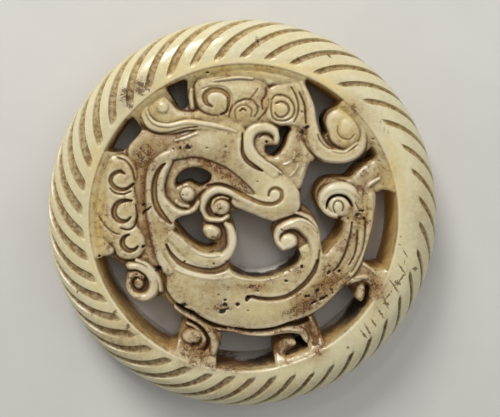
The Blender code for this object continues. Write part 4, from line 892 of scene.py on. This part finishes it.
def carved_grids(loops):
    """Square grids of plan points with the heights and the masks that the colours follow."""
    side = np.arange(-GRID_REACH, GRID_REACH, GRAIN / FIELD_RADIUS)
    grid_x, grid_y = np.meshgrid(side, side)
    x, y = grid_x.ravel(), grid_y.ravel()
    radius = np.hypot(grid_x, grid_y)
    ripple = RIPPLE * (lattice_noise(grid_x, grid_y, RIPPLE_CELL, RIPPLE_SEED) - 0.5) * 2.0
    flat = [*sharp_relief(x, y), eased_edges(x, y, loops), ragged_pits(x, y)]
    sharp, floor, line, eased, pits = [values.reshape(radius.shape) for values in flat]
    sharp = np.minimum(sharp + ripple * (radius < RIPPLE_RIM), 0.0)
    front = worn(sharp - eased - PIT_DEPTH * pits, WEAR_RADIUS)
    wide = worn(front, HOLLOW_RADIUS)
    broad = worn(front, VALLEY_RADIUS)
    close = worn(front, CREASE_RADIUS)
    sunk = worn(held(-sharp / GROUND_DROP), BACK_WEAR_RADIUS)
    rise = held((radius - BACK_RIM_FROM) / RIM_FADE)
    inner = 1.0 - DIRT_LOST_AT_RIM * smooth_step((radius - DIRT_RIM_FROM) / RIM_FADE)
    washed = inner * (1.0 - held(spot_mask(grid_x, grid_y, CLEAN)))
    drawn = 1.0 - spot_mask(grid_x, grid_y, FAINT)
    return side, {
        "front": front,
        "back": BACK_DROP * (BACK_LEAST + BACK_SUNK * sunk) * (1.0 - rise ** 2),
        "hollow": held((wide - front) / HOLLOW_DEPTH) * washed,
        "valley": held((broad - front) / VALLEY_DEPTH) * washed,
        "crease": held((close - front) / CREASE_DEPTH - CREASE_LEAST) * drawn,
        "crest": held((front - wide) / CREST_HEIGHT),
        "low": held((-front - BODY_DROP) / (GROUND_DROP - BODY_DROP)) * inner,
        "groove": worn(floor, GROOVE_RADIUS),
        "line": worn(line, LINE_RADIUS) * drawn,
        "black": pits,
    }


def detailed(grids):
    """Where the front needs the fine mesh: bends of the relief, and edges of pits and lines."""
    bends = np.abs(grids["front"] - worn(grids["front"], DETAIL_RADIUS)) > DETAIL_HEIGHT
    for mask, (low, high) in ((grids["black"], PIT_EDGE), (grids["line"], LINE_EDGE)):
        bends |= (mask > low) & (mask < high)
    return (worn(bends.astype(float), DETAIL_SPREAD) > DETAIL_SHARE).astype(float)


def simplify(loop, tolerance, longest):
    """Fewest samples of a closed loop that keep within a tolerance of it."""
    def walk(i, j):
        if j - i < 2:
            return []
        a, span = loop[i], loop[j] - loop[i]
        length = math.hypot(span[0], span[1])
        mid = loop[i + 1:j]
        if length < 1e-12:
            gap = np.hypot(mid[:, 0] - a[0], mid[:, 1] - a[1])
        else:
            gap = np.abs((mid[:, 0] - a[0]) * span[1] - (mid[:, 1] - a[1]) * span[0]) / length
        k = int(np.argmax(gap))
        if gap[k] < tolerance:
            if length <= longest:
                return []
            k = len(mid) // 2
        k += i + 1
        return walk(i, k) + [k] + walk(k, j)
    n = len(loop)
    loop = np.concatenate([loop, loop[:1]])
    half = n // 2
    return loop[[0] + walk(0, half) + [half] + walk(half, n)]


def opening_loops():
    """Plan outlines of the openings, in shares; the rim closes those that reach it."""
    loops = []
    rim_share = 1.0 - RIM_GAP / FIELD_RADIUS
    for meets_rim, points in OPENINGS.values():
        loop = spline(points, not meets_rim, OPENING_SAMPLES)
        if meets_rim:
            begin = math.atan2(loop[0, 1], loop[0, 0])
            end = math.atan2(loop[-1, 1], loop[-1, 0])
            sweep = math.remainder(begin - end, 2 * math.pi)
            steps = max(3, round(abs(math.degrees(sweep))))
            angle = end + sweep * np.arange(0, steps + 1) / steps
            arc = rim_share * np.stack([np.cos(angle), np.sin(angle)], axis=1)
            loop = np.concatenate([loop[1:-1], arc])
        loops.append(simplify(loop, OUTLINE_TOLERANCE / FIELD_RADIUS, OUTLINE_STEP / FIELD_RADIUS))
    return loops


def inner_points(rim, loops, step, wanted):
    """Points of a triangle lattice clear of the rim and the openings, thinned where not wanted."""
    across, up = [np.arange(-LATTICE_REACH, LATTICE_REACH, gap) for gap in (step, step * math.sqrt(3) / 2)]
    gx, gy = np.meshgrid(across, up)
    gx[1::2] += step / 2
    coarse = np.zeros(gx.shape, dtype=bool)
    coarse[::4, ::2] = True
    coarse[2::4, 1::2] = True
    keep = np.hypot(gx, gy) < np.hypot(rim[:, 0], rim[:, 1]).min() - RIM_CLEARANCE * step
    gx, gy, coarse = gx[keep], gy[keep], coarse[keep]
    if wanted is not None:
        keep = coarse | wanted(gx, gy)
        gx, gy = gx[keep], gy[keep]
    keep = np.ones(gx.shape, dtype=bool)
    for loop in loops:
        pick = near_mask(gx, gy, loop, step)
        dist, _ = chain_distance(gx[pick], gy[pick], loop, True)
        bad = is_inside(gx[pick], gy[pick], loop) | (dist < WALL_CLEARANCE * step)
        keep[np.flatnonzero(pick)[bad]] = False
    return np.stack([gx[keep], gy[keep]], axis=1)


def fill_plan(rim, loops, step, wanted=None):
    """Triangles between the rim loop and the openings; returns interior points and faces."""
    inner = inner_points(rim, loops, step, wanted)
    chains = [rim] + loops
    points = np.concatenate(chains + [inner])
    edges = []
    for chain in chains:
        start, n = len(edges), len(chain)
        edges += [(start + i, start + (i + 1) % n) for i in range(n)]
    result = delaunay_2d_cdt([Vector(p) for p in points.tolist()], edges, [], 0, 1e-7)
    source = [ids[0] for ids in result[3]]
    faces = np.array([[source[i] for i in face] for face in result[2]])
    x, y = points[faces].mean(axis=1).T
    keep = is_inside(x, y, rim)
    for loop in loops:
        keep &= ~is_inside(x, y, loop)
    return inner, faces[keep]


def ring_section():
    """Ring outline from its inner front edge over the outside to its inner back edge."""
    angles = np.linspace(0.0, math.pi / 2, SECTION_SAMPLES)
    outer = DISC_DIAMETER / 2
    sides = [(RING_WIDTH - land) * (1.0 - np.sin(angles)) for land in (FRONT_LAND, BACK_LAND)]
    front_r, back_r = [outer - side for side in sides]
    height = MID_HEIGHT * np.cos(angles)
    r = np.concatenate([[FIELD_RADIUS], front_r, back_r[-2::-1], [FIELD_RADIUS]])
    z = np.concatenate([[DISC_THICKNESS], MID_HEIGHT + height, MID_HEIGHT - height[-2::-1], [0.0]])
    run = np.concatenate([[0.0], np.cumsum(np.hypot(np.diff(r), np.diff(z)))])
    return r, z, run


def flute_turn(r, run):
    """Angle that a flute has swept round the ring at each distance along the section."""
    along = np.linspace(0.0, run[-1], SWEEP_SAMPLES)
    share = held((along / FIELD_RADIUS - LEAN_CHANGE_FROM) / LEAN_CHANGE_WIDTH)
    lean = FLUTE_LEAN_START + (FLUTE_LEAN - FLUTE_LEAN_START) * share
    rate = 1.0 / (np.tan(lean) * np.interp(along, run, r))
    turn = np.concatenate([[0.0], np.cumsum((rate[1:] + rate[:-1]) / 2 * np.diff(along))])
    return along, turn


def flute_stations(tip, total):
    """Distances along the section with the depth and width that a flute has there, as shares."""
    middle = total / 2
    run_out = FLUTE_RUN_OUT * FIELD_RADIUS
    back_tip = total - BACK_LAND - BACK_TIP_GAP * FIELD_RADIUS
    full, back_full = tip + run_out, back_tip - run_out
    rows = [(RIM_LAND, 0.0, TIP_WIDTH), ((RIM_LAND + tip) / 2, 0.0, TIP_WIDTH)]
    for part in np.arange(TIP_ROWS) / TIP_ROWS:
        width = TIP_WIDTH + (1.0 - TIP_WIDTH) * math.sqrt(part * (2 - part))
        rows.append((tip + run_out * part, smooth_step(part * RUN_OUT_STEEPNESS), width))
    rows += [(full + (middle - full) * k / FLUTE_ROWS, 1.0, 1.0) for k in range(FLUTE_ROWS)]
    rows += [(middle + (back_full - middle) * k / BACK_ROWS, 1.0, 1.0) for k in range(BACK_ROWS + 1)]
    rows.append((back_full + run_out / 2, *BACK_RUN_OUT))
    rows += [(back_tip, 0.0, TIP_WIDTH), (total - RIM_LAND, 0.0, TIP_WIDTH)]
    return np.array(rows).T


def ring_grid():
    """Ring vertices in columns that follow the flutes, with the masks on them."""
    r, z, run = ring_section()
    along, turn = flute_turn(r, run)
    pitch = 2 * math.pi / FLUTE_COUNT
    chance = np.random.default_rng(FLUTE_SEED)
    positions, masks = [], []
    for i in range(FLUTE_COUNT):
        even = FLUTE_START + i * pitch
        phase = even + FLUTE_DRIFT * math.cos(even - FLUTE_DRIFT_FROM)
        away = math.remainder(even - TIP_LONGEST_AT, 2 * math.pi)
        tip = (TIP_LEAST + TIP_ADDED * math.exp(-(away / TIP_SPREAD) ** 4)) * FIELD_RADIUS
        tip *= 1.0 + TIP_CHANCE * chance.uniform(-1.0, 1.0)
        share = FLUTE_SHARE + FLUTE_SHARE_SWING * math.cos(even - FLUTE_WIDEST_AT)
        share *= 1.0 + SHARE_CHANCE * chance.uniform(-1.0, 1.0)
        strength = min(1.0, 1.0 + DEPTH_CHANCE * chance.uniform(-1.0, 1.0))
        s, depth, width = flute_stations(tip, run[-1])
        sway = FLUTE_SWAY * np.sin(s / FLUTE_SWAY_LENGTH + chance.uniform(0.0, 6.0))
        rr, zz = np.interp(s, run, r), np.interp(s, run, z)
        near, far = s - TANGENT_STEP, s + TANGENT_STEP
        tr, tz = [np.interp(far, run, q) - np.interp(near, run, q) for q in (r, z)]
        size = np.hypot(tr, tz)
        for place, sunk in FLUTE_COLUMNS:
            if place <= 1.0:
                offset = (place * width + sway * depth) * share * pitch / 2
            else:
                edge = share * width / 2
                offset = (edge + (place - 1.0) * (1.0 - 2.0 * edge)) * pitch
            angle = phase + offset - np.interp(s, along, turn)
            inset = FLUTE_DEPTH * sunk * depth * strength
            radius, height = rr + tz / size * inset, zz - tr / size * inset
            positions.append(np.column_stack([radius * np.cos(angle), radius * np.sin(angle), height]))
            masks.append(held(sunk * depth * FLUTE_DIRT) * (sunk > DIRTY_DEPTH))
    return np.array(positions), np.array(masks)


def facing(vertices, faces, sign):
    """Triangles turned so that their normal points up or down."""
    a, b, c = vertices[faces[:, 0]], vertices[faces[:, 1]], vertices[faces[:, 2]]
    up = (b[:, 0] - a[:, 0]) * (c[:, 1] - a[:, 1]) - (b[:, 1] - a[:, 1]) * (c[:, 0] - a[:, 0])
    return np.where((up * sign < 0)[:, None], faces[:, ::-1], faces)


def patches(a, b, c, d):
    """Two triangles for each patch with the corners a, b above c, d."""
    return [np.stack([a, b, c], axis=1), np.stack([b, d, c], axis=1)]


def signed_area(loop):
    """Positive for a loop that runs anticlockwise."""
    after = np.roll(loop, -1, axis=0)
    return float(np.sum(loop[:, 0] * after[:, 1] - after[:, 0] * loop[:, 1])) / 2


def loop_normals(loop):
    """Unit normals of a closed loop."""
    tangent = np.roll(loop, -1, axis=0) - np.roll(loop, 1, axis=0)
    normal = np.stack([tangent[:, 1], -tangent[:, 0]], axis=1)
    return normal / np.maximum(np.hypot(normal[:, 0], normal[:, 1]), 1e-9)[:, None]


def wall_rows(loops, top, low):
    """Rows of vertices down the walls of the openings, from the front's edge to the back's."""
    hole = np.concatenate(loops)
    normals = np.concatenate([loop_normals(loop) for loop in loops])
    x, y = hole.T
    rows = []
    for share in np.arange(WALL_ROWS + 1) / WALL_ROWS:
        waves = sum(size * np.sin(x * a + y * b + share * c) for a, b, c, size in WALL_WAVES)
        wobble = WALL_WOBBLE * math.sin(math.pi * share) * waves
        spot = hole * FIELD_RADIUS + normals * wobble[:, None]
        rows.append(np.column_stack([spot, top + (low - top) * share]))
    return rows


def wall_faces(loops, row_starts):
    """Triangles between the rows of the walls."""
    faces = []
    begin = 0
    for loop in loops:
        a = np.arange(len(loop))
        b = (a + 1) % len(loop)
        if signed_area(loop) < 0:
            a, b = b, a
        for upper, lower in zip(row_starts, row_starts[1:]):
            upper, lower = upper + begin, lower + begin
            faces += patches(upper + a, upper + b, lower + a, lower + b)
        begin += len(loop)
    return faces


def vertex_masks(vertices, spans, side, grids, ring_groove):
    """Masks that the material reads, one value at each vertex."""
    plan = vertices[:, :2] / FIELD_RADIUS
    px, py = plan.T
    ring, walls, front, back = spans[0], spans[1:-2], spans[-2], spans[-1]
    masks = {}
    for name in ("hollow", "valley", "crease", "crest", "low", "groove", "line", "black"):
        masks[name] = np.zeros(len(vertices))
        for span in (front, walls[0]):
            masks[name][span] = sampled(side, grids[name], plan[span])
    for name in ("scored", "wall", "deep"):
        masks[name] = np.zeros(len(vertices))
    masks["line"][ring] = ring_groove.ravel()
    masks["scored"][ring] = vertices[ring, 2] > SCORED_FROM * DISC_THICKNESS
    masks["low"][back] = BACK_DIRT
    for k, span in enumerate(walls[1:], 1):
        masks["wall"][span] = 1.0 if k < WALL_ROWS else BACK_EDGE_WALL
        masks["deep"][span] = k / WALL_ROWS
    wall = masks["wall"]
    # Painted shadow on some walls
    masks["dark"] = spot_mask(px, py, SHADED_WALLS) * wall
    # Painted light from behind, low on some walls
    masks["painted_backlight"] = spot_mask(px, py, BACKLIT_STRIPS) * wall
    masks["ring"] = smooth_step((np.hypot(px, py) - RING_FROM) / RING_BLEND) * (1.0 - wall)
    stained = np.maximum(GROUND_STAIN * (1.0 - masks["ring"]) * (1.0 - wall), spot_mask(px, py, STAINS))
    masks["stain"] = held(stained - spot_mask(px, py, CLEAN))
    # Amber tone, partly painted light on the rim's slopes and the slot walls
    masks["amber_and_painted_light"] = held(spot_mask(px, py, AMBER_AND_PAINTED_LIGHT))
    masks["soil"] = held(spot_mask(px, py, SOIL))
    around = np.interp(np.degrees(np.arctan2(py, px)) % 360.0, *FLUTE_TONES)
    masks["tone"] = np.where(masks["ring"] > 0.5, around, spot_mask(px, py, GROOVE_TONE))
    return masks


def carved_mesh():
    """Vertices, triangles and per-vertex masks of the whole pendant."""
    grid, ring_groove = ring_grid()
    n_cols, n_rows = grid.shape[:2]
    loops = opening_loops()
    side, grids = carved_grids(loops)
    detail = detailed(grids)

    def wanted(x, y):
        return sampled(side, detail, np.stack([x, y], axis=1)) > FINE_FROM

    front, front_faces = fill_plan(grid[:, 0, :2] / FIELD_RADIUS, loops, GRID_STEP / FIELD_RADIUS, wanted)
    back, back_faces = fill_plan(grid[:, -1, :2] / FIELD_RADIUS, loops, BACK_STEP / FIELD_RADIUS)
    hole = np.concatenate(loops)
    top, low = DISC_THICKNESS + sampled(side, grids["front"], hole), sampled(side, grids["back"], hole)
    blocks = [grid.reshape(-1, 3)] + wall_rows(loops, top, low)
    for plan, base, name in ((front, DISC_THICKNESS, "front"), (back, 0.0, "back")):
        blocks.append(np.column_stack([plan * FIELD_RADIUS, base + sampled(side, grids[name], plan)]))
    vertices = np.concatenate(blocks)
    starts = np.cumsum([0] + [len(block) for block in blocks])
    spans = [slice(a, b) for a, b in zip(starts, starts[1:])]

    number = np.arange(len(vertices))
    rows = number[spans[0]].reshape(n_cols, n_rows)
    front_map = np.concatenate([rows[:, 0], number[spans[1]], number[spans[-2]]])
    back_map = np.concatenate([rows[:, -1], number[spans[-3]], number[spans[-1]]])
    faces = [facing(vertices, front_map[front_faces], 1.0), facing(vertices, back_map[back_faces], -1.0)]
    after = np.roll(rows, -1, axis=0)
    faces += patches(*[part.ravel() for part in (rows[:, :-1], rows[:, 1:], after[:, :-1], after[:, 1:])])
    faces = np.concatenate(faces + wall_faces(loops, starts[1:-3]))
    return vertices, faces, vertex_masks(vertices, spans, side, grids, ring_groove)


class Shader:
    """Short calls that add nodes to one material."""

    def __init__(self, name):
        self.material = bpy.data.materials.new(name)
        self.material.use_nodes = True
        self.tree = self.material.node_tree
        self.surface = self.tree.nodes["Principled BSDF"].inputs
        self.place = self.add("TexCoord", "Object", {})

    def put(self, socket, value):
        """Link or set one input."""
        if isinstance(value, bpy.types.NodeSocket):
            self.tree.links.new(value, socket)
        else:
            socket.default_value = value

    def add(self, kind, output, inputs, **settings):
        """One output of a new node with its settings and inputs."""
        node = self.tree.nodes.new("ShaderNode" + kind)
        for name, value in settings.items():
            setattr(node, name, value)
        for name, value in inputs.items():
            self.put(node.inputs[name], value)
        return node.outputs[output]

    def mask(self, name):
        """One of the masks stored on the mesh."""
        return self.add("Attribute", "Fac", {}, attribute_name=name)

    def noise(self, scale, detail, low, high):
        """Noise with features about 1/scale metres wide, its range from low to high spread over 0 to 1."""
        inputs = {"Scale": scale, "Detail": detail, "Roughness": 0.6, "Vector": self.place}
        return self.spread(self.add("TexNoise", "Fac", inputs), low, high)

    def spread(self, value, low, high):
        """Value mapped so that low gives 0 and high gives 1, with soft ends."""
        inputs = {"Value": value, "From Min": low, "From Max": high}
        return self.add("MapRange", "Result", inputs, interpolation_type="SMOOTHSTEP")

    def nearness(self, middle, degrees, half_length, half_width):
        """Distance from a blot's middle as a share of its reach on the plan."""
        inputs = {"Location": (*middle, 0.0), "Rotation": (0.0, 0.0, math.radians(degrees)),
                  "Scale": (half_length, half_width, 1.0), "Vector": self.place}
        local = self.add("Mapping", "Vector", inputs, vector_type="TEXTURE")
        return self.add("VectorMath", "Value", {0: local}, operation="LENGTH")

    def calc(self, operation, *values):
        """Values added, multiplied or otherwise joined one after another, held within 0 and 1."""
        total = values[0]
        for value in values[1:]:
            total = self.add("Math", "Value", {0: total, 1: value}, operation=operation, use_clamp=True)
        return total

    def times(self, *values):
        """Product of values."""
        return self.calc("MULTIPLY", *values)

    def plus(self, *values):
        """Sum of values, at most 1."""
        return self.calc("ADD", *values)

    def most(self, *values):
        """Greatest of values."""
        return self.calc("MAXIMUM", *values)

    def tint(self, amount, base, colour):
        """Base colour turned towards another by an amount."""
        inputs = {"Factor": amount, "A": shown(base), "B": shown(colour)}
        return self.add("Mix", "Result", inputs, data_type="RGBA")

    def level(self, amount, base, value):
        """Base value turned towards another by an amount."""
        return self.add("Mix", "Result", {"Factor": amount, "A": base, "B": value}, data_type="FLOAT")

    def patchy(self, name, pattern, bare, full):
        """A mask times a share, which goes from bare to full as the pattern does from 0 to 1."""
        return self.times(self.mask(name), self.level(pattern, bare, full))


def shown(colour):
    """Linear colour from the 0 to 255 values that a screen shows; a socket stays as it is."""
    if isinstance(colour, bpy.types.NodeSocket):
        return colour
    shares = [value / 255.0 for value in colour]
    return (*[v / 12.92 if v <= 0.04045 else ((v + 0.055) / 1.055) ** 2.4 for v in shares], 1.0)


def ring_marks(s):
    """Scratches and clumps of dirt on the ring, from 0 to 1."""
    nearest = 1.0
    for strength, *ends, half in RING_MARKS:
        corners = []
        for degrees, radius in (ends[:2], ends[2:]):
            angle = math.radians(degrees)
            corners.append(Vector((math.cos(angle), math.sin(angle))) * radius)
        along = corners[1] - corners[0]
        middle = (corners[0] + corners[1]) / 2000.0 * FIELD_RADIUS
        reach = strength * MARK_REACH * FIELD_RADIUS / 1000.0
        turn = math.degrees(math.atan2(along.y, along.x))
        blot = s.nearness(middle, turn, (along.length / 2 + half) * reach, half * reach)
        nearest = s.calc("MINIMUM", nearest, blot)
    return s.times(s.calc("SUBTRACT", 1.0, nearest), s.mask("scored"))


def wall_colour(s, speck, grit):
    """Walls of the openings: tan and amber made light as painted light, darker down the wall as painted
    shade, nearly black painted shadow in places, and pale painted light from behind low on some walls.
    """
    depth, dark = s.mask("deep"), s.mask("dark")
    # Painted light and shade: light tan near the front, darker down the wall
    colour = s.tint(depth, *WALL_LIT_AND_SHADED)
    colour = s.tint(s.times(speck, 0.45), colour, WALL_SPECK)
    # Painted light: amber glow on the walls of narrow slots
    colour = s.tint(s.times(s.mask("amber_and_painted_light"), 0.85), colour, WALL_PAINTED_GLOW)
    # Painted shadow: dark brown, then black further down, on the shaded walls
    colour = s.tint(s.times(dark, 0.85), colour, WALL_SHADED_BROWN)
    shade = s.spread(s.plus(depth, s.times(speck, 0.12)), 0.10, 0.42)
    colour = s.tint(s.times(dark, shade), colour, WALL_SHADOW_BLACK)
    # Painted light: pale strips low on some walls, light from behind the piece
    painted_backlight = s.plus(s.times(depth, 0.65), s.times(s.mask("painted_backlight"), 0.35))
    painted_backlight = s.spread(s.calc("SUBTRACT", painted_backlight, s.times(grit, 0.05)), 0.62, 0.72)
    painted_backlight = s.times(painted_backlight, s.spread(s.mask("painted_backlight"), 0.08, 0.25), s.level(grit, 0.75, 1.0))
    return s.tint(painted_backlight, colour, WALL_PAINTED_BACKLIGHT)


def jade_material():
    """Polished pale jade with yellow and brown stains, dirt in its grooves and dark pits, painted highlights
    on its crests, dirt with painted shade in its creases, and painted light and shade on the walls of its
    openings.
    """
    s = Shader("stained_jade")
    broad, cloud, speck, grit = [s.noise(*NOISES[name]) for name in ("broad", "cloud", "speck", "grit")]
    wall, tone, ring = s.mask("wall"), s.mask("tone"), s.mask("ring")

    # Stone and stains, with painted light in the amber and a painted highlight on the crests
    stain = s.times(s.patchy("stain", cloud, 0.65, 1.0), s.level(speck, 0.75, 1.0))
    low = s.patchy("low", speck, 0.40, 0.85)
    crest = s.patchy("crest", stain, 0.66, 0.08)
    colour = s.tint(broad, *JADE)
    colour = s.tint(s.times(cloud, 0.25), colour, JADE_CLOUD)
    colour = s.tint(s.times(ring, 0.50), colour, RING_PALE)
    colour = s.tint(s.times(speck, 0.14), colour, JADE_SPECK)
    # Amber tone, partly painted light on slopes that face away from the lamps
    colour = s.tint(s.patchy("amber_and_painted_light", cloud, 0.60, 1.0), colour, AMBER_WITH_PAINTED_LIGHT)
    colour = s.tint(stain, colour, STAIN_BROWN)
    colour = s.tint(low, colour, LOW_BROWN)
    colour = s.tint(s.patchy("valley", cloud, 0.35, 0.90), colour, VALLEY_BROWN)
    colour = s.tint(s.patchy("hollow", speck, 0.60, 1.0), colour, HOLLOW_BROWN)
    # Painted highlight: the crests turned towards near white, less where stained
    colour = s.tint(crest, colour, CREST_HIGHLIGHT)

    # Grooves, lines and flutes, darker where their tone says so; dirt and painted shade in the creases;
    # painted light and shade on the walls
    floor = s.patchy("groove", speck, 0.6, 0.95)
    line = s.patchy("line", speck, 0.65, 0.95)
    crease = s.patchy("crease", cloud, 0.55, 1.0)
    flute = s.tint(s.times(speck, 0.45), s.tint(tone, *FLUTE), FLUTE_SPECK)
    colour = s.tint(floor, colour, s.tint(tone, *GROOVE))
    colour = s.tint(line, colour, s.tint(ring, s.tint(tone, *LINE), flute))
    # Dirt and painted shade: the creases darkened to near black brown
    colour = s.tint(crease, colour, CREASE_DIRT_AND_SHADE)
    colour = s.tint(wall, colour, wall_colour(s, speck, grit))

    # Soil, scratches and pits
    dirt = s.most(s.mask("soil"), s.times(stain, 0.75))
    soil = s.spread(s.plus(s.times(dirt, 0.55), s.times(speck, 0.45)), 0.52, 0.74)
    crumbs = s.spread(s.plus(s.times(dirt, 0.45), s.times(grit, 0.55)), 0.66, 0.80)
    marks = s.spread(s.plus(s.times(ring_marks(s), 0.72), s.times(grit, 0.30)), 0.34, 0.62)
    black = s.spread(s.mask("black"), 0.25, 0.60)
    colour = s.tint(s.patchy("soil", cloud, 0.40, 0.85), colour, SOIL_TAN)
    colour = s.tint(s.times(soil, s.level(grit, 0.35, 0.80)), colour, SOIL_BROWN)
    colour = s.tint(s.times(crumbs, 0.60), colour, SOIL_CRUMB)
    colour = s.tint(s.times(marks, 0.85), colour, s.tint(grit, *SCRATCH))
    colour = s.tint(s.times(black, 0.92), colour, PIT_BLACK)

    # Roughness and fine bumps
    rough = s.level(s.most(low, stain), ROUGH["polished"], ROUGH["stained"])
    rough = s.level(crest, rough, ROUGH["crest"])
    rough = s.level(s.most(floor, line, wall), rough, ROUGH["groove"])
    rough = s.level(s.most(soil, crease, black), rough, ROUGH["soil"])
    dirty = s.most(soil, black, floor, wall)
    height = s.plus(s.times(cloud, 0.35), s.times(speck, s.level(dirty, 0.10, 0.55)))
    height = s.plus(height, s.times(grit, s.level(dirty, 0.02, 0.30)))
    surface = {
        "Base Color": colour,
        "Roughness": s.plus(rough, s.times(grit, ROUGH["grit"])),
        "Normal": s.add("Bump", "Normal", {"Height": height, **BUMP}),
        **STONE,
    }
    for name, value in surface.items():
        s.put(s.surface[name], value)
    return s.material


def floor_material():
    """Matte pale studio surface."""
    s = Shader("pale_floor")
    s.put(s.surface["Base Color"], s.tint(s.noise(*NOISES["floor"]), *FLOOR_GREY))
    s.put(s.surface["Roughness"], FLOOR_ROUGH)
    return s.material


def new_object(name, data):
    """Object with its data, linked to the scene."""
    thing = bpy.data.objects.new(name, data)
    bpy.context.scene.collection.objects.link(thing)
    return thing


def make_camera():
    """Camera above the front, leaning in from the top edge."""
    data = bpy.data.cameras.new("camera")
    data.lens = CAMERA_LENS
    data.sensor_width = CAMERA_SENSOR
    data.clip_start = CAMERA_NEAREST
    camera = new_object("camera", data)
    back = (CAMERA_PLACE - CAMERA_TARGET).normalized()
    right = Vector((0.0, 1.0, 0.0)).cross(back).normalized()
    turn = Matrix((right, back.cross(right), back)).transposed().to_4x4()
    camera.matrix_world = Matrix.Translation(CAMERA_PLACE) @ turn
    bpy.context.scene.camera = camera


def make_stage():
    """Pale floor, soft square lights aimed at the pendant and even surroundings."""
    half = FLOOR_HALF_WIDTH
    corners = [(-half, -half, 0.0), (half, -half, 0.0), (half, half, 0.0), (-half, half, 0.0)]
    mesh = bpy.data.meshes.new("floor")
    mesh.from_pydata(corners, [], [(0, 1, 2, 3)])
    mesh.materials.append(floor_material())
    floor = new_object("floor", mesh)
    floor.location.z = -FLOOR_DROP
    for name, (place, width, power, colour) in LIGHTS.items():
        data = bpy.data.lights.new(name, "AREA")
        data.energy = power
        data.size = width
        data.color = colour
        light = new_object(name, data)
        light.location = place
        light.rotation_euler = (-Vector(place)).to_track_quat("-Z", "Y").to_euler()
    world = bpy.data.worlds.new("studio")
    world.use_nodes = True
    background = world.node_tree.nodes["Background"].inputs
    background["Color"].default_value = (SURROUND_GREY, SURROUND_GREY, SURROUND_GREY, 1.0)
    background["Strength"].default_value = SURROUND_STRENGTH
    bpy.context.scene.world = world
    bpy.context.scene.view_settings.view_transform = "Standard"


def make_pendant():
    """The whole carved piece, with the masks that its material reads."""
    vertices, faces, masks = carved_mesh()
    mesh = bpy.data.meshes.new("jade_carving")
    mesh.from_pydata(vertices.tolist(), [], faces.tolist())
    for name, values in masks.items():
        layer = mesh.attributes.new(name, "FLOAT", "POINT")
        layer.data.foreach_set("value", np.ascontiguousarray(values, dtype=np.float32))
    mesh.materials.append(jade_material())
    mesh.shade_smooth()
    mesh.set_sharp_from_angle(angle=SHARP_ANGLE)
    piece = new_object("jade_carving", mesh)
    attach(piece, "root")
    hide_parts("pendant")


make_camera()
make_stage()
make_pendant()
